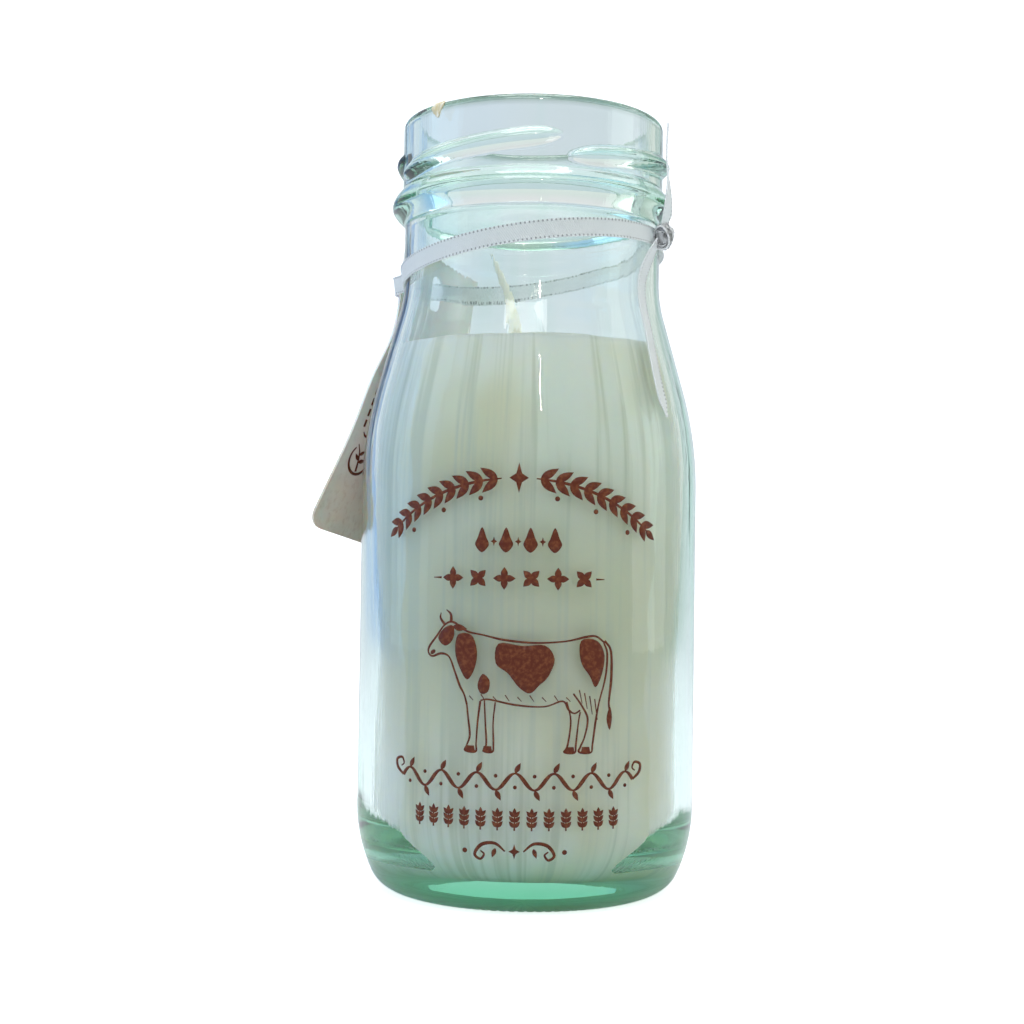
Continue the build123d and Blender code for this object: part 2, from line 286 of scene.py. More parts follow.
def plate(
    outlines: Iterable[Outline],
    spacing: float,
    empty: Callable[[float, float], bool] | None = None,
) -> tuple[np.ndarray, list[tuple[int, int, int]]]:
    """Fill flat outlines with small triangles; outlines that overlap become one.

    Args:
        outlines: Closed outlines.
        spacing: The largest gap between points inside them.
        empty: Says whether a place is in a hole.

    Returns:
        The points and the triangles.
    """
    coords: list[Pair] = []
    loops = []
    for outline in outlines:
        ring = [tuple(map(float, p)) for p in outline]
        area = sum(a[0] * b[1] - b[0] * a[1] for a, b in zip(ring, ring[1:] + ring[:1]))
        if area < 0:
            ring.reverse()
        loops.append(list(range(len(coords), len(coords) + len(ring))))
        coords += ring
    low = np.min(coords, axis=0)
    high = np.max(coords, axis=0)
    if max(high - low) > spacing:
        coords += [
            (float(x), float(y))
            for x in np.arange(low[0] + spacing / 2, high[0], spacing)
            for y in np.arange(low[1] + spacing / 2, high[1], spacing)
        ]
    found = delaunay_2d_cdt([Vector(c) for c in coords], [], loops, 1, MERGE_GAP)
    flat = np.array([tuple(v) for v in found[0]])
    triangles = []
    for face in found[2]:
        a, b, c = flat[list(face)]
        size = abs((b[0] - a[0]) * (c[1] - a[1]) - (b[1] - a[1]) * (c[0] - a[0]))
        middle = (a + b + c) / 3
        if size > LEAST_TRIANGLE and not (empty and empty(*middle)):
            triangles.append(tuple(face))
    used = sorted({v for t in triangles for v in t})
    number = {v: n for n, v in enumerate(used)}
    return flat[used], [tuple(number[v] for v in t) for t in triangles]


def inside(outline: Outline, x: float, y: float) -> bool:
    """Say whether a place is inside an outline."""
    ahead = outline[1:] + outline[:1]
    crossings = [
        (by > y) != (ay > y) and x < ax + (y - ay) * (bx - ax) / (by - ay)
        for (ax, ay), (bx, by) in zip(outline, ahead)
    ]
    return sum(crossings) % 2 == 1


def slab_mesh(
    name: str,
    flat: np.ndarray,
    triangles: list[tuple[int, int, int]],
    placed: Callable[[np.ndarray, float], np.ndarray],
    low: float,
    high: float,
) -> bpy.types.Mesh:
    """Give a filled outline a thickness on a curved surface.

    Args:
        name: The mesh's name.
        flat: The filled outline's points.
        triangles: Its triangles.
        placed: Takes flat points and a height off the surface and gives points in space.
        low: Height of the lower side.
        high: Height of the upper side.

    Returns:
        The closed mesh.
    """
    count = len(flat)
    points = np.vstack([placed(flat, high), placed(flat, low)])
    edges: dict[tuple[int, int], int] = {}
    for a, b, c in triangles:
        for edge in ((a, b), (b, c), (c, a)):
            edges[edge] = edges.get(edge, 0) + 1
    faces = list(triangles) + [tuple(v + count for v in reversed(t)) for t in triangles]
    uvs = [[tuple(flat[v]) for v in t] for t in triangles]
    uvs += [[tuple(flat[v]) for v in reversed(t)] for t in triangles]
    for a, b in edges:
        if (b, a) not in edges:
            faces.append((b, a, a + count, b + count))
            uvs.append([tuple(flat[v]) for v in (b, a, a, b)])
    return make_mesh(name, points, faces, uvs)


def laid_mesh(
    name: str,
    outlines: Iterable[Outline],
    spacing: float,
    placed: Callable[[np.ndarray, float], np.ndarray],
    sides: Pair,
    empty: Callable[[float, float], bool] | None = None,
) -> bpy.types.Mesh:
    """Fill outlines and lay them on a curved surface, from a lower to an upper side."""
    flat, triangles = plate(outlines, spacing, empty)
    return slab_mesh(name, flat, triangles, placed, *sides)


def stroke(points: Sequence[Pair], widths: Sequence[float], steps: int = 5) -> list[Outline]:
    """Draw a pen stroke as a chain of quads.

    Args:
        points: Places that the pen passes through.
        widths: The stroke's width at each of them.
        steps: Samples between each pair.

    Returns:
        The quads.
    """
    line = flowing([(x, y, w) for (x, y), w in zip(points, widths)], steps)
    along = np.gradient(line[:, :2], axis=0)
    side = unit(np.stack([-along[:, 1], along[:, 0]], axis=1))
    half = np.maximum(line[:, 2:3], FINEST_PEN) / 2
    left, right = line[:, :2] + side * half, line[:, :2] - side * half
    return [
        [tuple(right[i]), tuple(right[i + 1]), tuple(left[i + 1]), tuple(left[i])]
        for i in range(len(line) - 1)
    ]


def blob(points: Sequence[Pair], steps: int = 5) -> Outline:
    """Draw a smooth closed outline through points."""
    return [tuple(p) for p in flowing(points, steps, closed=True)]


def set_down(ring: Iterable[Pair], x: float, y: float, turn: float) -> Outline:
    """Turn an outline by some degrees about its origin and move it to a place."""
    c, s = math.cos(math.radians(turn)), math.sin(math.radians(turn))
    return [(x + c * a - s * b, y + s * a + c * b) for a, b in ring]


def oval(
    x: float, y: float, wide: float, tall: float, turn: float = 0.0, count: int = 20
) -> Outline:
    """Draw an oval of the given half width and half height, turned by some degrees."""
    turns = np.arange(count) * 2 * math.pi / count
    return set_down([(wide * math.cos(t), tall * math.sin(t)) for t in turns], x, y, turn)


def leaf(x: float, y: float, length: float, width: float, turn: float) -> Outline:
    """Draw a pointed leaf that starts at a place and points in a direction in degrees."""
    t = np.linspace(0, 1, 9)
    half = width / 2 * np.sin(np.pi * t**0.8)
    ring = [(a * length, h) for a, h in zip(t, half)]
    ring += [(a * length, -h) for a, h in zip(t[-2:0:-1], half[-2:0:-1])]
    return set_down(ring, x, y, turn)


def diamond(x: float, y: float, wide: float, tall: float) -> Outline:
    """Draw a diamond with slightly hollow sides."""
    ring = []
    for q in range(4):
        a, b = math.radians(90 * q), math.radians(90 * q + 45)
        ring.append((x + wide * math.cos(a), y + tall * math.sin(a)))
        ring.append((x + 0.42 * wide * math.cos(b), y + 0.42 * tall * math.sin(b)))
    return ring


# ---------------------------------------------------------------- nodes


class NodeSheet:
    """Short calls that place and join the nodes of one material or node group."""

    def __init__(self, tree: bpy.types.NodeTree) -> None:
        """Start on a tree's nodes."""
        self.tree = tree

    def add(
        self, kind: str, inputs: dict[Any, Any] | None = None, **settings: Any
    ) -> bpy.types.Node:
        """Place a node.

        Args:
            kind: The node's type.
            inputs: Values or sockets for its inputs, by name or number.
            **settings: Its other settings.

        Returns:
            The node.
        """
        node = self.tree.nodes.new(kind)
        for key, value in settings.items():
            setattr(node, key, value)
        for key, value in (inputs or {}).items():
            self.feed(node.inputs[key], value)
        return node

    def feed(self, socket: bpy.types.NodeSocket, value: Any) -> None:
        """Set an input to a value, or join it to a socket."""
        if isinstance(value, bpy.types.NodeSocket):
            self.tree.links.new(value, socket)
        else:
            socket.default_value = value

    def maths(self, operation: str, *values: Any) -> bpy.types.NodeSocket:
        """Give the result of one operation on values or sockets."""
        return self.add("ShaderNodeMath", dict(enumerate(values)), operation=operation).outputs[0]

    def times(self, first: Any, second: Any) -> bpy.types.NodeSocket:
        """Give the product of two values or sockets."""
        return self.maths("MULTIPLY", first, second)

    def spread(
        self, value: Any, low: Any, high: Any, new_low: float = 0.0, new_high: float = 1.0
    ) -> bpy.types.NodeSocket:
        """Give a value moved smoothly from one range to another."""
        ends = {"From Min": low, "From Max": high, "To Min": new_low, "To Max": new_high}
        inputs = {"Value": value, **ends}
        node = self.add("ShaderNodeMapRange", inputs, interpolation_type="SMOOTHSTEP")
        return node.outputs[0]

    def mix(self, share: Any, first: Any, second: Any) -> bpy.types.NodeSocket:
        """Give the mix of two colours by a share."""
        inputs = {0: share, 6: first, 7: second}
        return self.add("ShaderNodeMix", inputs, data_type="RGBA").outputs[2]

    def noise(
        self, where: Any, scale: Any, detail: float = 2.0, rough: float = 0.5
    ) -> bpy.types.NodeSocket:
        """Give soft noise over a place."""
        inputs = {"Vector": where, "Scale": scale, "Detail": detail, "Roughness": rough}
        return self.add("ShaderNodeTexNoise", inputs).outputs[0]

    def spot(self) -> bpy.types.NodeSocket:
        """Give the place on the object, in metres."""
        return self.add("ShaderNodeTexCoord").outputs["Object"]

    def split(self, where: Any) -> Any:
        """Give the three coordinates of a place."""
        return self.add("ShaderNodeSeparateXYZ", {0: where}).outputs

    def place(self, where: Any, scale: Sequence[float]) -> bpy.types.NodeSocket:
        """Give a place stretched along its axes."""
        return self.add("ShaderNodeMapping", {"Vector": where, "Scale": scale}).outputs[0]

    def group(self, tree: bpy.types.NodeTree, **inputs: Any) -> bpy.types.Node:
        """Place a node group, with its inputs given by name, spaces written as underscores."""
        node = self.add("ShaderNodeGroup", node_tree=tree)
        for key, value in inputs.items():
            self.feed(node.inputs[key.replace("_", " ")], value)
        return node


class Effects:
    """The effects that several materials share, as node groups built once."""

    def __init__(self) -> None:
        """Build every group."""
        self.streaks = self._streaks()
        self.flecks = self._flecks()
        self.weave = self._weave()
        self.dust = self._dust()

    @staticmethod
    def _start(
        name: str, inputs: dict[str, tuple[str, Any]], outputs: dict[str, str]
    ) -> tuple[bpy.types.NodeTree, NodeSheet, Any, bpy.types.Node]:
        """Start a group.

        Args:
            name: The group's name.
            inputs: Socket type and usual value of each input.
            outputs: Socket type of each output.

        Returns:
            The group, its sheet, its input sockets by name and its output node.
        """
        tree = bpy.data.node_groups.new(name, "ShaderNodeTree")
        for key, (kind, value) in inputs.items():
            socket = tree.interface.new_socket(key, in_out="INPUT", socket_type=kind)
            socket.default_value = value
        for key, kind in outputs.items():
            tree.interface.new_socket(key, in_out="OUTPUT", socket_type=kind)
        sheet = NodeSheet(tree)
        given = sheet.add("NodeGroupInput")
        return tree, sheet, given.outputs, sheet.add("NodeGroupOutput")

    def _streaks(self) -> bpy.types.NodeTree:
        """Upright streaks round the axis, as in drawn glass and poured wax."""
        tree, sheet, given, out = self._start(
            "upright_streaks",
            {
                "Count": ("NodeSocketFloat", 6.0),
                "Wander": ("NodeSocketFloat", 12.0),
                "Fine": ("NodeSocketFloat", 0.4),
            },
            {"Mask": "NodeSocketFloat", "Height": "NodeSocketFloat"},
        )
        spot = sheet.spot()
        x, y, z = sheet.split(spot)
        turn = sheet.maths("ARCTAN2", x, sheet.times(y, -1.0))
        ring_x = sheet.times(sheet.maths("COSINE", turn), given["Count"])
        ring_y = sheet.times(sheet.maths("SINE", turn), given["Count"])
        up = sheet.times(z, given["Wander"])
        ring = sheet.add("ShaderNodeCombineXYZ", {0: ring_x, 1: ring_y, 2: up}).outputs[0]
        broad = sheet.noise(ring, 1.0, 1.0)
        fine = sheet.noise(ring, 4.3, 2.0, 0.6)
        extra = sheet.times(sheet.maths("SUBTRACT", fine, 0.5), given["Fine"])
        both = sheet.maths("ADD", broad, extra)
        sheet.feed(out.inputs["Height"], both)
        sheet.feed(out.inputs["Mask"], sheet.spread(both, 0.45, 0.68))
        return tree

    def _flecks(self) -> bpy.types.NodeTree:
        """Small fibres and flecks, as in card, cotton and foam."""
        tree, sheet, given, out = self._start(
            "fibre_flecks",
            {
                "Ground": ("NodeSocketColor", rgb(0.8, 0.8, 0.8)),
                "Fleck": ("NodeSocketColor", rgb(0.4, 0.35, 0.3)),
                "Scale": ("NodeSocketFloat", 900.0),
                "Amount": ("NodeSocketFloat", 0.5),
            },
            {"Colour": "NodeSocketColor", "Height": "NodeSocketFloat"},
        )
        spot = sheet.spot()
        long_way = sheet.noise(sheet.place(spot, (1.0, 1.0, 0.25)), given["Scale"], 3.0, 0.6)
        short_way = sheet.noise(sheet.place(spot, (0.3, 1.3, 1.0)), given["Scale"], 3.0, 0.6)
        cloud = sheet.noise(spot, 160.0, 2.0)
        fibres = sheet.times(long_way, short_way)
        mask = sheet.times(sheet.spread(fibres, 0.22, 0.42), given["Amount"])
        patchy = sheet.spread(cloud, 0.3, 0.75)
        tint = sheet.times(patchy, sheet.times(given["Amount"], 0.5))
        base = sheet.mix(tint, given["Ground"], given["Fleck"])
        sheet.feed(out.inputs["Colour"], sheet.mix(mask, base, given["Fleck"]))
        sheet.feed(out.inputs["Height"], fibres)
        return tree

    def _weave(self) -> bpy.types.NodeTree:
        """Woven threads along and across a strip, with its bound edges."""
        tree, sheet, given, out = self._start(
            "strip_weave",
            {
                "Thread": ("NodeSocketFloat", 7.0),
                "Rib": ("NodeSocketFloat", 2.6),
                "Stitch": ("NodeSocketFloat", 0.75),
                "Edge": ("NodeSocketFloat", 0.8),
            },
            {key: "NodeSocketFloat" for key in ("Height", "Rib", "Stitch")},
        )
        surface = sheet.add("ShaderNodeUVMap", uv_map="surface").outputs[0]
        along, across, _ = sheet.split(surface)
        twill = sheet.maths("ADD", sheet.times(along, given["Rib"]), sheet.times(across, 2.2))
        rib = sheet.maths("SINE", sheet.times(twill, math.tau))
        thread = sheet.maths("SINE", sheet.times(across, sheet.times(given["Thread"], math.tau)))
        rough = sheet.maths("ADD", sheet.times(rib, 0.35), sheet.times(thread, 0.25))
        side = sheet.maths("ABSOLUTE", across)
        edge = sheet.spread(side, sheet.maths("SUBTRACT", given["Edge"], 0.07), given["Edge"])
        rim = sheet.spread(side, 0.93, 0.99, 1.0, 0.0)
        stitches = sheet.maths("DIVIDE", along, given["Stitch"])
        wave = sheet.maths("SINE", sheet.times(stitches, math.tau))
        dash = sheet.spread(wave, 0.1, 0.75)
        stitch = sheet.times(sheet.times(edge, rim), dash)
        sheet.feed(out.inputs["Rib"], sheet.spread(rib, -0.4, 0.8))
        sheet.feed(out.inputs["Stitch"], stitch)
        sheet.feed(out.inputs["Height"], sheet.maths("SUBTRACT", rough, stitch))
        return tree

    def _dust(self) -> bpy.types.NodeTree:
        """Handling marks: faint smears and specks that dull a gloss."""
        tree, sheet, given, out = self._start(
            "handling_marks",
            {
                "Clean": ("NodeSocketFloat", 0.1),
                "Marked": ("NodeSocketFloat", 0.3),
                "Scale": ("NodeSocketFloat", 60.0),
            },
            {"Roughness": "NodeSocketFloat", "Mask": "NodeSocketFloat"},
        )
        spot = sheet.spot()
        smear = sheet.spread(sheet.noise(spot, given["Scale"], 4.0, 0.65), 0.48, 0.75)
        specks = sheet.noise(spot, sheet.times(given["Scale"], 22.0), 1.0)
        speck = sheet.spread(specks, 0.72, 0.8)
        mask = sheet.maths("MAXIMUM", smear, speck)
        gap = sheet.maths("SUBTRACT", given["Marked"], given["Clean"])
        sheet.feed(out.inputs["Mask"], mask)
        dulled = sheet.maths("ADD", given["Clean"], sheet.times(mask, gap))
        sheet.feed(out.inputs["Roughness"], dulled)
        return tree


# ---------------------------------------------------------------- finishes


@dataclass(frozen=True)
class Flecks:
    """Flecks of one colour on a ground of another."""

    ground: Colour
    fleck: Colour
    scale: float
    amount: float

    def place(self, sheet: NodeSheet, effects: Effects) -> bpy.types.Node:
        """Place the flecks in a material."""
        values = {"Ground": self.ground, "Fleck": self.fleck}
        return sheet.group(effects.flecks, **values, Scale=self.scale, Amount=self.amount)


@dataclass(frozen=True)
class Marks:
    """Handling marks: the roughness where clean and where marked, and the marks' scale."""

    clean: float
    marked: float
    scale: float

    def place(self, sheet: NodeSheet, effects: Effects) -> bpy.types.Node:
        """Place the marks in a material."""
        return sheet.group(effects.dust, Clean=self.clean, Marked=self.marked, Scale=self.scale)


@dataclass(frozen=True)
class Finish:
    """What every finish has: a name, and a Principled shader to dress."""

    name: str

    def start(self, **plain: Any) -> tuple[bpy.types.Material, NodeSheet, bpy.types.Node]:
        """Start the material.

        Args:
            **plain: Values for the shader's own sockets, spaces written as underscores.

        Returns:
            The material, its sheet and its shader.
        """
        material = bpy.data.materials.new(self.name)
        material.use_nodes = True
        material.node_tree.nodes.clear()
        sheet = NodeSheet(material.node_tree)
        shader = sheet.add("ShaderNodeBsdfPrincipled")
        for key, value in plain.items():
            shader.inputs[key.replace("_", " ")].default_value = value
        output = sheet.add("ShaderNodeOutputMaterial")
        sheet.feed(output.inputs["Surface"], shader.outputs[0])
        return material, sheet, shader

    @staticmethod
    def paint(sheet: NodeSheet, shader: bpy.types.Node, colour: Any, roughness: Any) -> None:
        """Join a colour and a roughness to the shader."""
        sheet.feed(shader.inputs["Base Color"], colour)
        sheet.feed(shader.inputs["Roughness"], roughness)

    @staticmethod
    def bump(
        sheet: NodeSheet, shader: bpy.types.Node, height: Any, strength: float, depth: float
    ) -> None:
        """Join a bump of a depth in millimetres to the shader."""
        inputs = {"Height": height, "Strength": strength, "Distance": depth * MM}
        node = sheet.add("ShaderNodeBump", inputs)
        sheet.feed(shader.inputs["Normal"], node.outputs[0])


@dataclass(frozen=True)
class GlassFinish(Finish):
    """Clear bottle glass: a green body tint, deeper at the base, bead and lugs, with the lip
    painted dark as painted shade for the dim room seen through it.

    Heights and radii are pairs in metres, where a tint starts and where it is full.
    """

    name: str = "green_tint_glass"
    tint: Colour = rgb(0.12, 0.83, 0.52)
    density: float = 23.0
    ior: float = 1.51
    clear: Colour = rgb(1.0, 1.0, 1.0)
    streak: Colour = rgb(0.965, 0.99, 0.98)
    base: Colour = rgb(0.50, 0.95, 0.74)
    base_height: Pair = (0.002, 0.008)
    # Painted shade: the dark lip colour stands in for the dim room seen through the rim.
    lip: Colour = rgb(0.20, 0.32, 0.25)
    lip_shade_height: Pair = (0.1352, 0.1366)
    proud: Colour = rgb(0.86, 0.97, 0.91)
    proud_radius: Pair = (0.0236, 0.0246)
    proud_height: Pair = (0.110, 0.114)

    def make(self, effects: Effects) -> bpy.types.Material:
        """Make the material."""
        material, sheet, shader = self.start(IOR=self.ior, Transmission_Weight=1.0, Metallic=0.0)
        streaks = sheet.group(effects.streaks, Count=5.0, Wander=20.0, Fine=0.3)
        marks = Marks(0.0, 0.012, 70.0).place(sheet, effects)
        colour = sheet.mix(streaks.outputs["Mask"], self.clear, self.streak)
        spot = sheet.spot()
        height = sheet.split(spot)[2]
        colour = sheet.mix(sheet.spread(height, *self.base_height, 1.0, 0.0), colour, self.base)
        # Painted shade: the lip is tinted dark to stand in for the dim room seen through it.
        colour = sheet.mix(sheet.spread(height, *self.lip_shade_height), colour, self.lip)
        away = {0: spot, 1: (1.0, 1.0, 0.0)}
        flat = sheet.add("ShaderNodeVectorMath", away, operation="MULTIPLY").outputs[0]
        radius = sheet.add("ShaderNodeVectorMath", {0: flat}, operation="LENGTH").outputs["Value"]
        stands_out = sheet.spread(radius, *self.proud_radius)
        proud = sheet.times(stands_out, sheet.spread(height, *self.proud_height))
        colour = sheet.mix(proud, colour, self.proud)
        self.paint(sheet, shader, colour, marks.outputs["Roughness"])
        self.bump(sheet, shader, streaks.outputs["Height"], 0.22, 0.25)
        body = {"Color": self.tint, "Density": self.density}
        volume = sheet.add("ShaderNodeVolumeAbsorption", body)
        output = next(n for n in sheet.tree.nodes if n.type == "OUTPUT_MATERIAL")
        sheet.feed(output.inputs["Volume"], volume.outputs[0])
        return material


@dataclass(frozen=True)
class WaxFinish(Finish):
    """Ivory candle wax with upright pour streaks, warm clouds and a deeper tone low down.

    Heights are pairs in metres, where the deeper tone starts and where it ends.
    """

    name: str = "ivory_wax"
    pale: Colour = rgb(0.97, 0.955, 0.88)
    shade: Colour = rgb(0.72, 0.72, 0.61)
    warm: Colour = rgb(0.84, 0.79, 0.58)
    deep: Colour = rgb(0.80, 0.77, 0.61)
    deep_from: Pair = (0.016, 0.040)
    deep_until: Pair = (0.050, 0.085)

    def make(self, effects: Effects) -> bpy.types.Material:
        """Make the material."""
        material, sheet, shader = self.start(
            IOR=1.44,
            Subsurface_Weight=0.6,
            Subsurface_Radius=(1.0, 0.85, 0.6),
            Subsurface_Scale=0.012,
        )
        spot = sheet.spot()
        streaks = sheet.group(effects.streaks, Count=4.2, Wander=5.0, Fine=0.9)
        marks = Marks(0.32, 0.55, 45.0).place(sheet, effects)
        blotches = sheet.noise(sheet.place(spot, (1.0, 1.0, 0.6)), 42.0, 2.0)
        colour = sheet.mix(sheet.spread(blotches, 0.5, 0.72), self.pale, self.warm)
        height = sheet.split(spot)[2]
        low = sheet.spread(height, *self.deep_from)
        core = sheet.times(low, sheet.spread(height, *self.deep_until, 1.0, 0.0))
        colour = sheet.mix(core, colour, self.deep)
        colour = sheet.mix(sheet.times(streaks.outputs["Mask"], 0.75), colour, self.shade)
        self.paint(sheet, shader, colour, marks.outputs["Roughness"])
        self.bump(sheet, shader, sheet.noise(spot, 260.0, 3.0), 0.35, 0.2)
        return material


@dataclass(frozen=True)
class FleckedFinish(Finish):
    """Flecks on a ground, dulled by handling marks; relief is a bump's strength and depth."""

    flecks: Flecks
    marks: Marks
    relief: Pair
    plain: tuple[tuple[str, Any], ...]

    def make(self, effects: Effects) -> bpy.types.Material:
        """Make the material."""
        material, sheet, shader = self.start(**dict(self.plain))
        flecks = self.flecks.place(sheet, effects)
        marks = self.marks.place(sheet, effects)
        self.paint(sheet, shader, flecks.outputs["Colour"], marks.outputs["Roughness"])
        self.bump(sheet, shader, flecks.outputs["Height"], *self.relief)
        return material


WAXED_COTTON = FleckedFinish(
    "waxed_cotton",
    flecks=Flecks(rgb(0.96, 0.95, 0.86), rgb(0.86, 0.81, 0.62), 1400.0, 0.4),
    marks=Marks(0.4, 0.65, 300.0),
    relief=(0.5, 0.15),
    plain=(
        ("Subsurface_Weight", 0.3),
        ("Subsurface_Radius", (1.0, 0.8, 0.5)),
        ("Subsurface_Scale", 0.0015),
        ("Sheen_Weight", 0.1),
    ),
)
TINNED_SHEET = FleckedFinish(
    "tinned_sheet",
    flecks=Flecks(rgb(0.72, 0.72, 0.7), rgb(0.5, 0.5, 0.49), 700.0, 0.6),
    marks=Marks(0.28, 0.5, 200.0),
    relief=(0.3, 0.05),
    plain=(("Metallic", 1.0), ("Anisotropic", 0.3)),
)
AMBER_RESIDUE = FleckedFinish(
    "amber_residue",
    flecks=Flecks(rgb(0.55, 0.42, 0.16), rgb(0.85, 0.83, 0.72), 900.0, 0.9),
    marks=Marks(0.35, 0.7, 400.0),
    relief=(0.6, 0.2),
    plain=(("Coat_Weight", 0.2),),
)


@dataclass(frozen=True)
class FoamFinish(Finish):
    """White foam with open cells."""

    name: str = "adhesive_foam"
    ground: Colour = rgb(0.88, 0.88, 0.86)
    fleck: Colour = rgb(0.6, 0.6, 0.58)
    wall: Colour = rgb(0.95, 0.95, 0.93)

    def make(self, effects: Effects) -> bpy.types.Material:
        """Make the material."""
        material, sheet, shader = self.start(Roughness=0.8)
        inputs = {"Vector": sheet.spot(), "Scale": 2200.0}
        cells = sheet.add("ShaderNodeTexVoronoi", inputs).outputs["Distance"]
        flecks = Flecks(self.ground, self.fleck, 900.0, 0.5).place(sheet, effects)
        colour = sheet.mix(sheet.spread(cells, 0.2, 0.7), flecks.outputs["Colour"], self.wall)
        sheet.feed(shader.inputs["Base Color"], colour)
        self.bump(sheet, shader, cells, 0.6, 0.1)
        return material


@dataclass(frozen=True)
class SatinFinish(Finish):
    """White satin ribbon with fine ribs and stitched edges; the hollows between the ribs are
    darkened as painted shade.
    """

    name: str = "white_satin"
    face: Colour = rgb(0.76, 0.77, 0.79)
    # Colour of the flecks, and of the painted shade in the hollows between the ribs.
    fleck_and_valley_shade: Colour = rgb(0.54, 0.55, 0.58)
    stitch: Colour = rgb(0.07, 0.07, 0.08)

    def make(self, effects: Effects) -> bpy.types.Material:
        """Make the material."""
        material, sheet, shader = self.start(
            Sheen_Weight=0.2,
            Sheen_Roughness=0.35,
            Anisotropic=0.6,
            Specular_IOR_Level=0.6,
            Subsurface_Weight=1.0,
            Subsurface_Radius=(1.0, 1.0, 1.0),
            Subsurface_Scale=0.0015,
        )
        weave = sheet.group(effects.weave)
        flecks = Flecks(self.face, self.fleck_and_valley_shade, 1800.0, 0.25).place(sheet, effects)
        rib = weave.outputs["Rib"]
        # Painted shade: the hollows between the ribs are darkened.
        hollow = sheet.times(sheet.maths("SUBTRACT", 1.0, rib), 0.45)
        colour = sheet.mix(hollow, flecks.outputs["Colour"], self.fleck_and_valley_shade)
        colour = sheet.mix(sheet.times(weave.outputs["Stitch"], 0.8), colour, self.stitch)
        self.paint(sheet, shader, colour, sheet.spread(rib, 0.0, 1.0, 0.48, 0.3))
        self.bump(sheet, shader, weave.outputs["Height"], 0.6, 0.05)
        return material


@dataclass(frozen=True)
class CardFinish(Finish):
    """Uncoated cream card with fibres and a little rubbed, painted paler towards its top as painted
    light for the light that reaches it through the bottle's clear neck.
    """

    name: str = "cream_card"
    ground: Colour = rgb(0.58, 0.61, 0.52)
    fleck: Colour = rgb(0.36, 0.31, 0.22)
    # Painted light: the paler colour of the card's top, which takes light through the clear neck.
    painted_lit_top: Colour = rgb(0.88, 0.90, 0.87)
    painted_lit_top_height: Pair = (0.066, 0.092)
    rubbed: Colour = rgb(0.66, 0.55, 0.36)

    def make(self, effects: Effects) -> bpy.types.Material:
        """Make the material."""
        material, sheet, shader = self.start(
            Specular_IOR_Level=0.3,
            Sheen_Weight=0.05,
            Subsurface_Weight=0.35,
            Subsurface_Scale=0.0015,
        )
        flecks = Flecks(self.ground, self.fleck, 1100.0, 0.4).place(sheet, effects)
        marks = Marks(0.62, 0.8, 120.0).place(sheet, effects)
        # Painted light: the card grows paler towards its top, where light reaches it through the
        # clear neck.
        upper = sheet.spread(sheet.split(sheet.spot())[2], *self.painted_lit_top_height)
        colour = sheet.mix(upper, flecks.outputs["Colour"], self.painted_lit_top)
        colour = sheet.mix(sheet.times(marks.outputs["Mask"], 0.25), colour, self.rubbed)
        self.paint(sheet, shader, colour, marks.outputs["Roughness"])
        self.bump(sheet, shader, flecks.outputs["Height"], 0.4, 0.05)
        return material


@dataclass(frozen=True)
class InkFinish(Finish):
    """Screen-printed ink, a little uneven."""

    name: str = "brown_ink"
    deep: Colour = rgb(0.095, 0.017, 0.006)
    thin: Colour = rgb(0.17, 0.05, 0.018)

    def make(self, effects: Effects) -> bpy.types.Material:
        """Make the material."""
        material, sheet, shader = self.start(Specular_IOR_Level=0.2)
        grain = sheet.spread(sheet.noise(sheet.spot(), 1500.0, 3.0, 0.6), 0.42, 0.7)
        marks = Marks(0.38, 0.6, 260.0).place(sheet, effects)
        colour = sheet.mix(grain, self.deep, self.thin)
        self.paint(sheet, shader, colour, marks.outputs["Roughness"])
        self.bump(sheet, shader, grain, 0.3, 0.02)
        return material


@dataclass(frozen=True)
class StudioFinish(Finish):
    """Painted floor and backdrop: plain white to look at, dimmer for the light it gives back.

    The sides are tinted outside a pair of distances from the middle, in metres.
    """

    name: str = "pale_studio"
    paint_clean: Colour = rgb(0.72, 0.74, 0.77)
    paint_marked: Colour = rgb(0.68, 0.70, 0.72)
    glow_clean: Colour = rgb(0.95, 0.95, 0.95)
    glow_marked: Colour = rgb(0.9, 0.905, 0.91)
    glow: float = 0.10
    glow_seen: float = 0.80
    left: Colour = rgb(0.26, 0.44, 0.76)
    right: Colour = rgb(0.42, 0.52, 0.46)
    tinted: Pair = (0.40, 0.85)

    def make(self, effects: Effects) -> bpy.types.Material:
        """Make the material."""
        material, sheet, shader = self.start(Specular_IOR_Level=0.1)
        marks = Marks(0.85, 0.95, 3.0).place(sheet, effects)
        mask = marks.outputs["Mask"]
        colour = sheet.mix(mask, self.paint_clean, self.paint_marked)
        across = sheet.split(sheet.spot())[0]
        near, far = self.tinted
        colour = sheet.mix(sheet.spread(across, -far, -near, 1.0, 0.0), colour, self.left)
        colour = sheet.mix(sheet.spread(across, near, far), colour, self.right)
        self.paint(sheet, shader, colour, marks.outputs["Roughness"])
        sheet.feed(
            shader.inputs["Emission Color"], sheet.mix(mask, self.glow_clean, self.glow_marked)
        )
        seen = sheet.add("ShaderNodeLightPath").outputs["Is Camera Ray"]
        strength = sheet.spread(seen, 0.0, 1.0, self.glow, self.glow_seen)
        sheet.feed(shader.inputs["Emission Strength"], strength)
        return material


class Finishes:
    """Every finish, made once."""

    def __init__(self) -> None:
        """Make the effects and the materials."""
        effects = Effects()
        self.glass = GlassFinish().make(effects)
        self.wax = WaxFinish().make(effects)
        self.wick = WAXED_COTTON.make(effects)
        self.tin = TINNED_SHEET.make(effects)
        self.foam = FoamFinish().make(effects)
        self.satin = SatinFinish().make(effects)
        self.card = CardFinish().make(effects)
        self.ink = InkFinish().make(effects)
        self.residue = AMBER_RESIDUE.make(effects)
        self.studio = StudioFinish().make(effects)


# ---------------------------------------------------------------- sub-assemblies


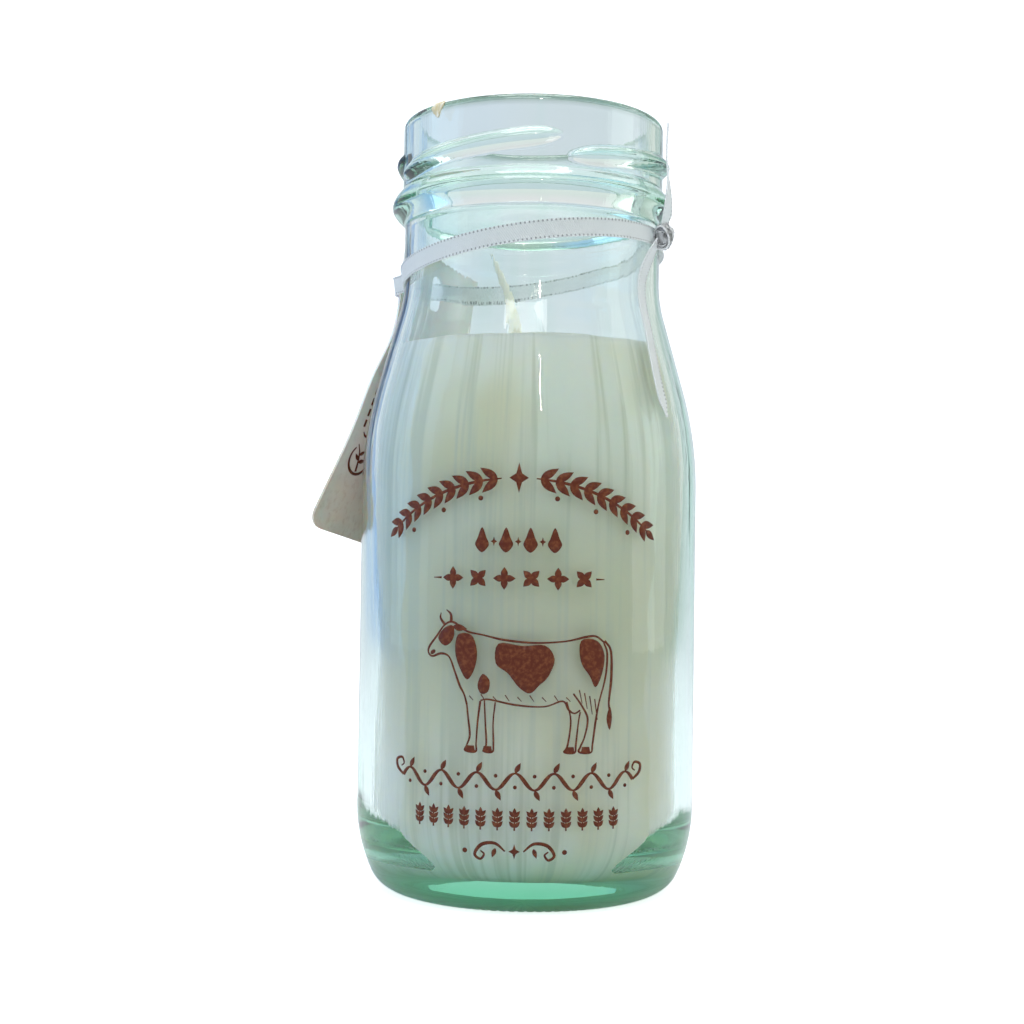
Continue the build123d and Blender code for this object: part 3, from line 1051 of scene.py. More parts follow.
@dataclass
class SubAssembly:
    """What every sub-assembly has: its finishes, and a way to put a piece in the scene."""

    finishes: Finishes

    def put(
        self,
        name: str,
        mesh: bpy.types.Mesh,
        material: bpy.types.Material,
        body: Body,
        slot: Slot,
        *replaced: str,
    ) -> bpy.types.Object:
        """Put a piece in the scene and on its body.

        Args:
            name: The piece's name.
            mesh: Its mesh, in place.
            material: Its finish.
            body: The body that it rides on.
            slot: The record's slot of its finish; not used.
            *replaced: CAD nodes that it stands for.

        Returns:
            The piece.
        """
        piece = bpy.data.objects.new(name, mesh)
        piece.data.materials.append(material)
        bpy.context.scene.collection.objects.link(piece)
        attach(piece, body.value)
        if replaced:
            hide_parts(*replaced)
        log.info("%s: %d faces on %s", name, len(mesh.polygons), body.value)
        return piece

    def dress(self, node: str, material: bpy.types.Material) -> None:
        """Give a CAD node that stays its finish."""
        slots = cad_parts[node].data.materials
        slots.clear()
        slots.append(material)
        log.info("%s: kept from the CAD model", node)


class HalfProfile:
    """A half profile that grows by lines and arcs."""

    def __init__(self, radius: float, height: float) -> None:
        """Start at a radius and a height."""
        self.points: list[Pair] = [(radius, height)]

    def line(self, radius: float, height: float, step: float) -> None:
        """Go straight to a place in steps of about the given length."""
        r0, z0 = self.points[-1]
        count = max(1, round(math.hypot(radius - r0, height - z0) / step))
        for n in range(1, count + 1):
            self.points.append((r0 + (radius - r0) * n / count, z0 + (height - z0) * n / count))

    def arc(self, centre: Pair, radius: float, start: float, end: float, count: int) -> None:
        """Go round a centre from one angle in degrees to another."""
        for n in range(1, count + 1):
            a = math.radians(start + (end - start) * n / count)
            self.points.append((centre[0] + radius * math.cos(a), centre[1] + radius * math.sin(a)))


@dataclass
class GlassBottle(SubAssembly):
    """The bottle: heel, body, shoulder, neck, bead and twist-off finish. Sizes in millimetres."""

    height: float = 137.0
    body_r: float = 30.0
    ring_in_r: float = 18.0
    ring_out_r: float = 22.0
    push_up: float = 1.6
    heel_low: tuple[float, float, float] = (22.0, 6.0, 6.0)
    heel_high: tuple[float, float, float] = (2.75, 15.0, 27.25)
    shoulder: tuple[float, float, float] = (-36.0, 71.0, 66.0)
    neck_bend: tuple[float, float, float] = (48.0, 108.5, 25.0)
    neck_r: float = 23.0
    bead: tuple[Pair, Pair, Pair] = ((23.0, 118.4), (25.3, 121.5), (23.45, 124.6))
    finish_r: float = 23.45
    bore_r: float = 20.75
    bore_bottom: float = 118.6
    bore_step: float = 1.2
    wall: float = 2.5
    floor_z: float = 6.0
    floor_fillet: float = 10.0
    lug_first: float = -31.5
    lug_mid_z: float = 128.1
    lug_rise: float = 3.6
    lug_half_span: float = 43.5
    lug_full_span: float = 27.0
    lug_bump: float = 1.25
    lug_half_height: float = 1.75
    lug_zone: Pair = (123.0, 134.0)
    seam_high: float = 0.05
    seam_wide: float = 0.55
    stipple_count: int = 96
    stipple_deep: float = 0.16
    segments: int = 384

    def lean(self, low_r: float, high_r: float) -> float:
        """Give the slope's angle off the axis in degrees, for a shoulder and a neck bend radius."""
        across = self.neck_bend[0] - self.shoulder[0]
        up = self.neck_bend[1] - self.shoulder[1]
        aside = math.acos((low_r + high_r) / math.hypot(across, up))
        return math.degrees(math.atan2(up, across) - aside)

    def outside(self, height: Any) -> Any:
        """Give the plain outside radius at heights from the heel to the neck."""
        z = np.asarray(height, float)
        lean = math.radians(self.lean(self.shoulder[2], self.neck_bend[2]))
        low_z = self.shoulder[1] + self.shoulder[2] * math.sin(lean)
        high_z = self.neck_bend[1] - self.neck_bend[2] * math.sin(lean)
        low_r = self.shoulder[0] + self.shoulder[2] * math.cos(lean)
        below = np.minimum(z - self.heel_high[1], 0.0)
        heel = self.heel_high[0] + np.sqrt(np.maximum(self.heel_high[2] ** 2 - below**2, 0))
        above = np.clip(z - self.shoulder[1], 0, 60)
        round_part = self.shoulder[0] + np.sqrt(self.shoulder[2] ** 2 - above**2)
        slope = low_r - (z - low_z) * math.tan(lean)
        under = np.clip(self.neck_bend[1] - z, 0, self.neck_bend[2])
        bend = self.neck_bend[0] - np.sqrt(self.neck_bend[2] ** 2 - under**2)
        result = np.where(z < self.shoulder[1], np.minimum(self.body_r, heel), round_part)
        result = np.where(z > low_z, slope, result)
        return np.where(z > high_z, bend, result)

    @staticmethod
    def outer_wave(azimuth: Any, height: Any) -> Any:
        """Give the slight unevenness of the mould-blown outside, in millimetres."""
        a = np.radians(azimuth)
        return 0.018 * np.sin(3 * a + height / 17.0) + 0.012 * np.sin(7 * a - height / 9.0 + 1.0)

    @staticmethod
    def inner_wave(azimuth: Any, height: Any) -> Any:
        """Give the larger unevenness of the blown inside, in millimetres."""
        a = np.radians(azimuth)
        return (
            0.10 * np.sin(2 * a + 0.6 + height / 40.0)
            + 0.07 * np.sin(5 * a - height / 21.0)
            + 0.035 * np.sin(11 * a + height / 13.0 + 2.0)
        )

    def lugs(self, azimuth: np.ndarray, height: np.ndarray) -> np.ndarray:
        """Give how far the four lugs stand out, in millimetres."""
        bump = np.zeros_like(height)
        for turn in range(4):
            off = (azimuth - self.lug_first - 90.0 * turn + 180.0) % 360.0 - 180.0
            run_out = self.lug_half_span - self.lug_full_span
            share = np.clip((np.abs(off) - self.lug_full_span) / run_out, 0, 1)
            size = np.sqrt(np.maximum(1 - share**2, 0))
            middle = self.lug_mid_z + self.lug_rise / 2 * off / self.lug_half_span
            half = self.lug_half_height * np.maximum(size, 0.05)
            place = np.clip(np.abs(height - middle) / half, 0, 1)
            rise = self.lug_bump * size * np.cos(place * math.pi / 2) ** 0.85
            bump = np.maximum(bump, np.where(size > 0.01, rise, 0.0))
        return bump

    def shaped(
        self, azimuth: np.ndarray, radius: np.ndarray, height: np.ndarray
    ) -> tuple[np.ndarray, np.ndarray]:
        """Add lugs, two side seams, the stippled ring, ripples under the push-up and unevenness."""
        outer = self.outer_rows[:, None] & np.ones_like(azimuth, bool)
        wave = self.outer_wave(azimuth, height)
        on_finish = outer & (height > self.lug_zone[0]) & (height < self.lug_zone[1])
        bump = np.where(on_finish, self.lugs(azimuth, height), 0.0)
        off_seam = (azimuth % 180.0 + 180.0 - 90.0) % 180.0
        off_seam = np.minimum(off_seam, 180.0 - off_seam)
        seam = self.seam_high * np.exp(-((off_seam / self.seam_wide) ** 2)) * (height > 3.0)
        fade = smooth_step(height, 2.0, 12.0)
        uneven = (wave * fade + seam) * (radius > 15)
        radius = np.where(outer, radius + bump + uneven, radius)
        inner_fade = smooth_step(height, 6.2, 18.0) * (1 - 0.6 * smooth_step(height, 112.0, 120.0))
        radius = np.where(outer, radius, radius + self.inner_wave(azimuth, height) * inner_fade)
        on_ring = (radius > self.ring_in_r - 0.4) & (radius < self.ring_out_r + 2.0)
        ring = outer & (height < 0.45) & on_ring
        notch = np.maximum(0.0, np.sin(np.radians(azimuth * self.stipple_count)))
        stipple = self.stipple_deep * notch * smooth_step(radius, 17.9, 18.6)
        height = np.where(ring, height + stipple, height)
        a = np.radians(azimuth)
        rounds = 0.06 * np.sin(2.6 * radius + 1.5 * np.sin(2 * a))
        chill = rounds + 0.04 * np.sin(5 * a + 0.9 * radius)
        dome = outer & (height < self.push_up + 0.1) & (radius < self.ring_in_r - 0.6)
        height = np.where(dome, height + chill * (1 - smooth_step(radius, 12.0, 17.0)), height)
        return radius, height

    def floor_corner(self) -> Pair:
        """Give the centre of the round between the inside wall and the floor."""
        return (self.body_r - self.wall - self.floor_fillet, self.floor_z + self.floor_fillet)

    def profile(self) -> list[Pair]:
        """Draw the half profile: outside from push-up to rim, then inside down to the floor."""
        path = HalfProfile(0.0, self.push_up)
        dome = (self.ring_in_r**2 + self.push_up**2) / (2 * self.push_up)
        edge = 90.0 - math.degrees(math.asin(self.ring_in_r / dome))
        path.arc((0.0, self.push_up - dome), dome, 90.0, edge, 22)
        path.line(self.ring_out_r, 0.0, 0.4)
        across, up = self.heel_low[0] - self.heel_high[0], self.heel_low[1] - self.heel_high[1]
        meet = math.degrees(math.atan2(up, across))
        path.arc(self.heel_low[:2], self.heel_low[2], -90.0, meet, 14)
        path.arc(self.heel_high[:2], self.heel_high[2], meet, 0.0, 16)
        path.line(self.body_r, self.shoulder[1], 2.0)
        lean = self.lean(self.shoulder[2], self.neck_bend[2])
        path.arc(self.shoulder[:2], self.shoulder[2], 0.0, lean, 14)
        turn = math.radians(lean)
        x = self.neck_bend[0] - self.neck_bend[2] * math.cos(turn)
        z = self.neck_bend[1] - self.neck_bend[2] * math.sin(turn)
        path.line(x, z, 1.2)
        path.arc(self.neck_bend[:2], self.neck_bend[2], 180.0 + lean, 180.0, 10)
        path.line(self.neck_r, self.bead[0][1] - 1.2, 1.0)
        start = len(path.points)
        (x0, z0), (x1, z1), (x2, z2) = self.bead
        for z in np.linspace(z0 - 0.9, z2 + 0.6, 40):
            rise = math.sin(math.pi / 2 * np.clip((z - z0) / (z1 - z0), 0, 1))
            fall = math.sin(math.pi / 2 * np.clip((z2 - z) / (z2 - z1), 0, 1))
            low = x0 + (x1 - x0) * rise
            high = x2 + (x1 - x2) * fall
            path.points.append((float(low if z < z1 else high), float(z)))
        lip = (self.finish_r - self.bore_r) / 2
        path.line(self.finish_r, self.lug_zone[1], 0.24)
        path.line(self.finish_r, self.height - lip, 0.5)
        smooth = np.array(path.points)
        for _ in range(3):
            beside = smooth[start - 1 : -2, 0] + 2 * smooth[start:-1, 0] + smooth[start + 1 :, 0]
            smooth[start:-1, 0] = beside / 4
        path.points = [tuple(map(float, p)) for p in smooth]
        path.arc((self.bore_r + lip, self.height - lip), lip, 0.0, 90.0, 8)
        self.top_row = len(path.points)
        path.arc((self.bore_r + lip, self.height - lip), lip, 90.0, 180.0, 8)
        path.line(self.bore_r, self.bore_bottom + 0.4, 1.2)
        path.line(self.bore_r, self.bore_bottom, 0.2)
        neck_in = self.neck_r - self.wall
        path.line(neck_in, self.bore_bottom - self.bore_step, 0.4)
        path.line(neck_in, self.neck_bend[1], 1.5)
        lean_in = self.lean(self.shoulder[2] - self.wall, self.neck_bend[2] + self.wall)
        path.arc(self.neck_bend[:2], self.neck_bend[2] + self.wall, 180.0, 180.0 + lean_in, 10)
        turn = math.radians(lean_in)
        low_r = self.shoulder[2] - self.wall
        x, z = self.shoulder[0] + low_r * math.cos(turn), self.shoulder[1] + low_r * math.sin(turn)
        path.line(x, z, 1.5)
        path.arc(self.shoulder[:2], low_r, lean_in, 0.0, 12)
        path.line(self.body_r - self.wall, self.floor_z + self.floor_fillet, 2.5)
        path.arc(self.floor_corner(), self.floor_fillet, 0.0, -90.0, 14)
        path.line(0.0, self.floor_z, 2.5)
        return path.points

    def build(self) -> None:
        """Build and dress the bottle and the residue on its rim."""
        profile = self.profile()
        self.outer_rows = np.arange(1, len(profile) - 1) < self.top_row
        mesh = turned_mesh("bottle_glass", profile, self.segments, self.shaped)
        self.put("bottle_glass", mesh, self.finishes.glass, Body.BOTTLE, Slot.GLASS, "glass_bottle")
        self.put("rim_residue", self.residue(), self.finishes.residue, Body.BOTTLE, Slot.WAX)

    def residue(self) -> bpy.types.Mesh:
        """Make the thin lumpy fleck that clings to the outside of the rim."""
        round_it = [(-1.3, 0.1), (-0.9, 1.0), (0.1, 1.5), (1.2, 1.4)]
        round_it += [(1.5, 0.5), (0.9, -0.4), (0.3, -1.5), (-0.5, -0.9)]

        def placed(spots: np.ndarray, lift: float) -> np.ndarray:
            """Lay the fleck over the rim's round edge."""
            lumps = np.array([noise.noise(Vector((x, y, lift * 5))) for x, y in spots * 2.1])
            azimuth = -45.0 + np.degrees(spots[:, 0] / self.finish_r)
            lip = (self.finish_r - self.bore_r) / 2
            over = np.clip(spots[:, 1] / lip, -9, math.pi / 2)
            stand = lift * (1 + 0.8 * lumps)
            on_lip = self.finish_r - lip + (lip + stand) * np.cos(over)
            radius = np.where(over > 0, on_lip, self.finish_r + stand)
            rise = np.where(over > 0, (lip + stand) * np.sin(over), spots[:, 1])
            return around(azimuth, radius, self.height - lip + rise)

        return laid_mesh("rim_residue", [blob(round_it, 6)], 0.22, placed, (-0.05, 0.22))


@dataclass
class Candle(SubAssembly):
    """The wax, its braided wick, and the sustainer on its pad. Sizes in millimetres."""

    bottle: GlassBottle
    gap: float = 0.10
    bond: float = 0.05
    bond_edge: Pair = (0.66, 0.80)
    film_top: float = 96.0
    film_thick: float = 0.45
    wax_top: float = 94.3
    climb: float = 2.6
    wick_points: tuple[tuple[float, float, float], ...] = (
        (0.0, 0.0, 6.9), (-0.7, 0.0, 36.0), (-1.4, 0.0, 70.0), (-2.0, 0.0, 92.0),
        (-2.7, 0.05, 99.0), (-4.2, 0.1, 105.5), (-6.1, 0.05, 110.3), (-7.6, 0.0, 113.7),
    )
    wick_wide: float = 3.0
    wick_thick: float = 1.9
    braid_pitch: float = 2.4
    strand_high: float = 0.045

    def wax_profile(self) -> list[Pair]:
        """Draw the wax: floor, wall, thin film at the top edge, and the hollowed top."""
        b = self.bottle
        wall_r = b.body_r - b.wall
        path = HalfProfile(0.0, b.floor_z)
        path.line(wall_r - b.floor_fillet, b.floor_z, 2.0)
        path.arc(b.floor_corner(), b.floor_fillet, -90.0, 0.0, 14)
        path.line(wall_r, b.shoulder[1], 2.0)
        lean = b.lean(b.shoulder[2] - b.wall, b.neck_bend[2] + b.wall)
        low_r = b.shoulder[2] - b.wall
        path.arc(b.shoulder[:2], low_r, 0.0, lean, 12)
        edge_z = path.points[-1][1]
        slope = math.tan(math.radians(lean))
        edge_r = path.points[-1][0] - (self.film_top - edge_z) * slope
        path.line(edge_r, self.film_top, 0.8)
        path.line(edge_r - self.film_thick, self.film_top + 0.05, 0.25)
        for n in range(1, 15):
            t = n / 14
            drop = (self.film_top - self.wax_top) * (1 - (1 - t) ** 2.4)
            inward = edge_r - self.film_thick - self.climb * t**1.5
            path.points.append((inward, self.film_top - drop))
        path.line(0.0, self.wax_top - 0.35, 0.9)
        return path.points

    def shaped(
        self, azimuth: np.ndarray, radius: np.ndarray, height: np.ndarray
    ) -> tuple[np.ndarray, np.ndarray]:
        """Fit the wax to the inside: bonded at front and back, shrunk off at the sides."""
        fade = smooth_step(height, 6.2, 18.0) * smooth_step(radius, 12.0, 24.0)
        a = np.radians(azimuth)
        edge = 0.16 * np.sin(3 * a + 1.2) + 0.09 * np.sin(8 * a) + 0.05 * np.sin(19 * a + 0.7)
        top = smooth_step(height, 93.0, 96.0)
        pucker = 0.5 * np.exp(-((radius / 3.2) ** 2)) * (height > 80)
        swell = 0.12 * np.sin(radius / 2.1 + 2 * np.sin(a)) * (height > 93.0) * (radius < 20)
        wander = 0.02 * np.sin(height / 7.0 + 3 * a) + 0.012 * np.sin(height / 2.6 + a)
        sideways = np.abs(np.sin(a)) + wander + 0.15 * (1 - smooth_step(height, 7.5, 13.0))
        shrunk = smooth_step(sideways, *self.bond_edge) * smooth_step(height, 6.2, 7.6)
        off_wall = (self.bond * (1 - shrunk) - self.gap * shrunk) * (radius > 12.0)
        lower = self.bond * (1 - smooth_step(height, 8.0, 15.0)) * (1 - shrunk)
        fitted = radius + self.bottle.inner_wave(azimuth, height) * fade + off_wall
        return fitted, height + edge * top + pucker + swell - lower

    def wick_mesh(self) -> bpy.types.Mesh:
        """Make the flat braided wick that thins towards its tip."""
        path = even(flowing(self.wick_points, 24), 0.16)
        run = run_along(path)
        along = unit(np.gradient(path, axis=0))
        depth = np.tile([0.0, 1.0, 0.0], (len(path), 1))
        side = unit(np.cross(depth, along))
        share = run / run[-1]
        tip = 1 - 0.62 * smooth_step(share, 0.82, 0.985) - 0.33 * smooth_step(share, 0.975, 1.0)
        foot = 1 + 0.25 * np.exp(-(((path[:, 2] - 95.0) / 2.5) ** 2))
        angles = np.linspace(0, 2 * math.pi, 28, endpoint=False)
        strands = 0.0
        for lay in (1, -1):
            advance = lay * run[:, None] * 2 * math.pi / (3 * self.braid_pitch)
            strands = strands + self.strand_high * np.cos(3 * (angles[None, :] + advance))
        size = (tip * foot)[:, None] * (1 + strands)
        wide = (self.wick_wide / 2 * np.cos(angles))[None, :] * size
        deep = (self.wick_thick / 2 * np.sin(angles))[None, :] * size
        spread = side[:, None, :] * wide[..., None]
        rings = path[:, None, :] + spread + depth[:, None, :] * deep[..., None]
        return tube_mesh("braided_wick", rings, run, angles / math.pi - 1)

    def build(self) -> None:
        """Build and dress the candle."""
        wax = turned_mesh("poured_wax", self.wax_profile(), 256, self.shaped)
        self.put("poured_wax", wax, self.finishes.wax, Body.BOTTLE, Slot.WAX, "wax_fill")
        wick = self.wick_mesh()
        self.put("braided_wick", wick, self.finishes.wick, Body.BOTTLE, Slot.WICK, "wick")
        self.dress("wick_sustainer", self.finishes.tin)
        self.dress("wick_adhesive_pad", self.finishes.foam)


@dataclass
class NeckRibbon(SubAssembly):
    """The satin ribbon: its loop, knot and two tails. Sizes in millimetres."""

    bottle: GlassBottle
    wide: float = 3.25
    cut_width: float = 3.6
    thick: float = 0.26
    loop_r: float = 23.5
    loop_z: float = 111.8
    loop_rise: float = 3.57
    high_azimuth: float = 60.0
    tag_azimuth: float = -121.5
    knot_azimuth: float = 68.0
    knot_z: float = 115.8
    knot_r: float = 24.9
    core_size: tuple[float, float, float] = (1.22, 1.9, 1.85)
    picot: float = 0.75
    gap: float = 0.35
    lower_route: tuple[Pair, ...] = (
        (63.8, 114.1), (57.5, 111.2), (53.2, 107.6), (51.6, 103.2), (52.0, 98.2), (51.0, 93.0),
        (50.4, 87.9), (52.2, 83.0),
    )
    lower_length: float = 33.0
    upper_line: tuple[tuple[float, float, float], ...] = (
        (66.6, 24.9, 116.3), (66.0, 25.9, 120.0), (66.4, 25.95, 124.4), (66.6, 25.5, 129.6),
        (66.2, 25.75, 135.2),
    )
    fold: tuple[Pair, ...] = (
        (-3.6, 23.28), (-2.2, 23.5), (-0.6, 24.35), (0.9, 25.15), (2.6, 25.42), (4.4, 25.3),
        (6.4, 25.05), (8.3, 24.5), (9.3, 23.8), (9.8, 22.8), (10.4, 21.5),
    )
    places: tuple[float, ...] = (-1, -0.97, -0.9, -0.8, -0.5, 0, 0.5, 0.8, 0.9, 0.97, 1)

    def strip(
        self,
        name: str,
        path: np.ndarray,
        outward: np.ndarray,
        closed: bool = False,
        width: np.ndarray | None = None,
    ) -> bpy.types.Mesh:
        """Make a thin woven strip with beaded edges.

        Args:
            name: The mesh's name.
            path: The middle line.
            outward: The direction that the strip's face looks in, at each point.
            closed: True if the strip joins up.
            width: The width as a share of the ribbon's, at each point.

        Returns:
            The closed mesh.
        """
        along = np.gradient(path, axis=0)
        if closed:
            along = np.roll(path, -1, axis=0) - np.roll(path, 1, axis=0)
        along = unit(along)
        across = unit(np.cross(outward, along))
        face = unit(np.cross(along, across))
        run = run_along(path)
        share = np.ones(len(path)) if width is None else width
        places = np.array(self.places)
        bead = 0.5 + 0.5 * np.sin(2 * math.pi * run / self.picot)
        half = self.wide / 2 * share
        rows = []
        for side, order in ((1, places), (-1, places[::-1])):
            for s in order:
                edge = smooth_step(abs(s), 0.86, 0.95)
                body = self.thick / 2 * (0.62 + 0.1 * (1 - s * s))
                lift = body + edge * (0.05 + 0.05 * bead)
                lift = lift * (0.35 if abs(s) == 1 else 1.0)
                reach = s * half * (1 + 0.022 * edge * bead)
                rows.append(path + across * reach[:, None] + face * (side * lift)[:, None])
        rings = np.stack(rows, axis=1)
        return tube_mesh(name, rings, run, np.concatenate([places, places[::-1]]), closed)

    def loop_height(self, azimuth: Any) -> Any:
        """Give the loop's height at an azimuth."""
        return self.loop_z + self.loop_rise * np.cos(np.radians(azimuth - self.high_azimuth))

    def loop_mesh(self) -> bpy.types.Mesh:
        """Make the loop round the neck, over the tag's near side and through its hole."""
        outward = around(self.tag_azimuth, 1.0, 0.0)[:2]
        forward = np.array([-outward[1], outward[0]])
        beside = np.array([outward * out + forward * along for along, out in self.fold])
        beside_azimuth = np.degrees(np.arctan2(beside[:, 0], -beside[:, 1])) % 360
        ends = beside_azimuth[0] - 0.5, beside_azimuth[-1]
        start, stop = ends[1] + 2.5, ends[0] - 2.0 + 360
        plain = np.arange(start, stop, 4.0)
        past = (plain % 360) - (start % 360)
        easing = self.loop_r + 0.05 - 0.16 * np.exp(-((past / 14.0) ** 2))
        ring = around(plain, easing, 0.0)[:, :2]
        line = np.vstack([beside, ring])
        line = even(flowing(line, 12, closed=True), 0.15, closed=True)
        azimuth = np.degrees(np.arctan2(line[:, 0], -line[:, 1]))
        path = np.column_stack([line, self.loop_height(azimuth)])
        along = unit(np.roll(line, -1, axis=0) - np.roll(line, 1, axis=0))
        face = np.column_stack([along[:, 1], -along[:, 0], np.zeros(len(line))])
        tilt = self.loop_rise / self.loop_r
        rise = around(self.high_azimuth, tilt, 0.0)
        plane = unit(np.array([[-rise[0], -rise[1], 1.0]]))
        face = unit(face - plane * (face @ plane.T))
        return self.strip("ribbon_loop", path, face, closed=True)

    def knot_frame(self) -> tuple[np.ndarray, np.ndarray, np.ndarray, np.ndarray]:
        """Give the knot's middle and its outward, sideways and upward directions."""
        middle = around(self.knot_azimuth, self.knot_r, self.knot_z)
        outward = around(self.knot_azimuth, 1.0, 0.0)
        sideways = around(self.knot_azimuth + 90, 1.0, 0.0)
        return middle, outward, sideways, np.array([0.0, 0.0, 1.0])

    def wrap(self, tilt: float, size: Pair, shift: float, share: float) -> bpy.types.Mesh:
        """Make one turn of ribbon pulled tight round the knot.

        Args:
            tilt: Degrees that the turn leans from upright.
            size: Half depth and half height of the turn.
            shift: Distance sideways from the knot's middle.
            share: Its width as a share of the ribbon's.

        Returns:
            The closed mesh.
        """
        middle, outward, sideways, up = self.knot_frame()
        lean = math.radians(tilt)
        long_way = up * math.cos(lean) + sideways * math.sin(lean)
        beside = sideways * math.cos(lean) - up * math.sin(lean)
        turn = np.linspace(0, 2 * math.pi, 90, endpoint=False)
        squash = 1 + 0.06 * np.sin(3 * turn + tilt)
        ring = (
            middle
            + outward * (size[0] * np.cos(turn) * squash)[:, None]
            + long_way * (size[1] * np.sin(turn) * squash)[:, None]
            + beside * (shift + 0.25 * np.sin(turn + 0.5))[:, None]
        )
        out_share = outward * np.cos(turn)[:, None] / size[0]
        face = unit(out_share + long_way * np.sin(turn)[:, None] / size[1])
        width = share * (1 - 0.22 * np.cos(turn) ** 2 + 0.08 * np.sin(2 * turn))
        return self.strip("knot_turn", ring, face, closed=True, width=width)

    def core(self) -> bpy.types.Mesh:
        """Make the crumpled ribbon inside the knot."""
        middle, outward, sideways, up = self.knot_frame()
        deep, wide, tall = self.core_size
        latitudes = np.linspace(0, math.pi, 30)
        angles = np.linspace(0, 2 * math.pi, 40, endpoint=False)
        rings = []
        for t in latitudes:
            ring = []
            for a in angles:
                d = Vector((math.sin(t) * math.cos(a), math.sin(t) * math.sin(a), math.cos(t)))
                boxy = (abs(d.x) ** 3 + abs(d.y) ** 3 + abs(d.z) ** 3) ** (-1 / 3)
                fold = boxy * (1 + 0.07 * math.sin(8 * d.z + 5 * d.y) + 0.12 * noise.noise(d * 2.6))
                reach = outward * d.x * deep + sideways * d.y * wide + up * d.z * tall
                ring.append(middle + reach * fold)
            rings.append(ring)
        return tube_mesh("knot_core", np.array(rings), latitudes * 2, angles / math.pi - 1)

    def knot_mesh(self) -> bpy.types.Mesh:
        """Join the knot's turns and core in one mesh."""
        parts = [
            self.core(),
            self.wrap(6.0, (1.36, 2.12), 0.35, 0.75),
            self.wrap(-28.0, (1.32, 2.06), -0.85, 0.7),
            self.wrap(66.0, (1.30, 2.06), 0.15, 0.7),
        ]
        shaper = bmesh.new()
        for part in parts:
            shaper.from_mesh(part)
            bpy.data.meshes.remove(part)
        mesh = bpy.data.meshes.new("ribbon_knot_tied")
        shaper.to_mesh(mesh)
        shaper.free()
        return mesh

    def route(self, name: str, points: np.ndarray) -> np.ndarray:
        """Read the points of a smooth spline.

        Args:
            name: The spline's name.
            points: Its control points in millimetres.

        Returns:
            Points along it, in millimetres.
        """
        curve = bpy.data.curves.new(name, "CURVE")
        curve.dimensions = "3D"
        curve.resolution_u = 24
        spline = curve.splines.new("NURBS")
        spline.points.add(len(points) - 1)
        for spot, point in zip(spline.points, points):
            spot.co = (*(point * MM), 1.0)
        spline.order_u = 3
        spline.use_endpoint_u = True
        holder = bpy.data.objects.new(name, curve)
        read = bpy.data.meshes.new_from_object(holder)
        line = np.array([v.co for v in read.vertices], float).reshape(-1, 3) / MM
        bpy.data.meshes.remove(read)
        bpy.data.objects.remove(holder)
        bpy.data.curves.remove(curve)
        return line

    def lower_tail(self) -> None:
        """Build the long tail, which hangs down the neck and the shoulder."""
        azimuth, height = np.array(self.lower_route).T
        radius = self.bottle.outside(np.minimum(height, 117.0)) + self.gap + 0.15
        radius = radius + 0.7 * smooth_step(height, 108.5, 111.6)
        line = self.route("lower_tail_route", around(azimuth, radius, height))
        path = even(line, 0.15)
        share = np.linspace(0, 1, len(path))
        turn = np.degrees(np.arctan2(path[:, 0], -path[:, 1]))
        outward = around(turn, 1.0, 0.2)
        sideways = around(turn + 90, 1.0, 0.0)
        extra = np.radians(14.0 + 16.0 * (1 - smooth_step(share, 0.0, 0.3)))
        face = unit(outward * np.cos(extra)[:, None] + sideways * np.sin(extra)[:, None])
        path = path + outward * 0.12
        width = 1 - 0.81 * smooth_step(share, 0.90, 1.0)
        width = width * (0.72 + 0.28 * smooth_step(share, 0.0, 0.12))
        name = "ribbon_tail_long"
        mesh = self.strip(name, path, face, width=width)
        piece = self.put_satin(name, mesh, "ribbon_tail_lower")
        points = path * MM
        length = float(np.linalg.norm(np.diff(points, axis=0), axis=1).sum())
        log.info("lower tail route: %.1f mm", length / MM)
        tuple(points[0])
        [tuple(p) for p in points]

    def upper_tail_mesh(self) -> bpy.types.Mesh:
        """Make the short tail, which stands up and turns edge-on."""
        azimuth, radius, height = np.array(self.upper_line).T
        path = even(flowing(around(azimuth, radius, height), 20), 0.15)
        share = np.linspace(0, 1, len(path))
        twist = 62.0 + 23.0 * smooth_step(share, 0.15, 0.6)
        face = around(twist, 1.0, 0.0)
        width = 0.75 + 0.25 * smooth_step(share, 0.0, 0.2)
        width = width * (1 - 0.3 * smooth_step(share, 0.3, 1.0))
        return self.strip("ribbon_tail_short", path, face, width=width)

    def put_satin(self, name: str, mesh: bpy.types.Mesh, node: str) -> bpy.types.Object:
        """Put a satin piece on the ribbon's body in place of its CAD node."""
        return self.put(name, mesh, self.finishes.satin, Body.RIBBON, Slot.SATIN, node)

    def build(self) -> None:
        """Build and dress the ribbon."""
        self.lower_tail()
        self.put_satin("ribbon_loop", self.loop_mesh(), "neck_ribbon")
        self.put_satin("ribbon_knot_tied", self.knot_mesh(), "ribbon_knot")
        self.put_satin("ribbon_tail_short", self.upper_tail_mesh(), "ribbon_tail_upper")


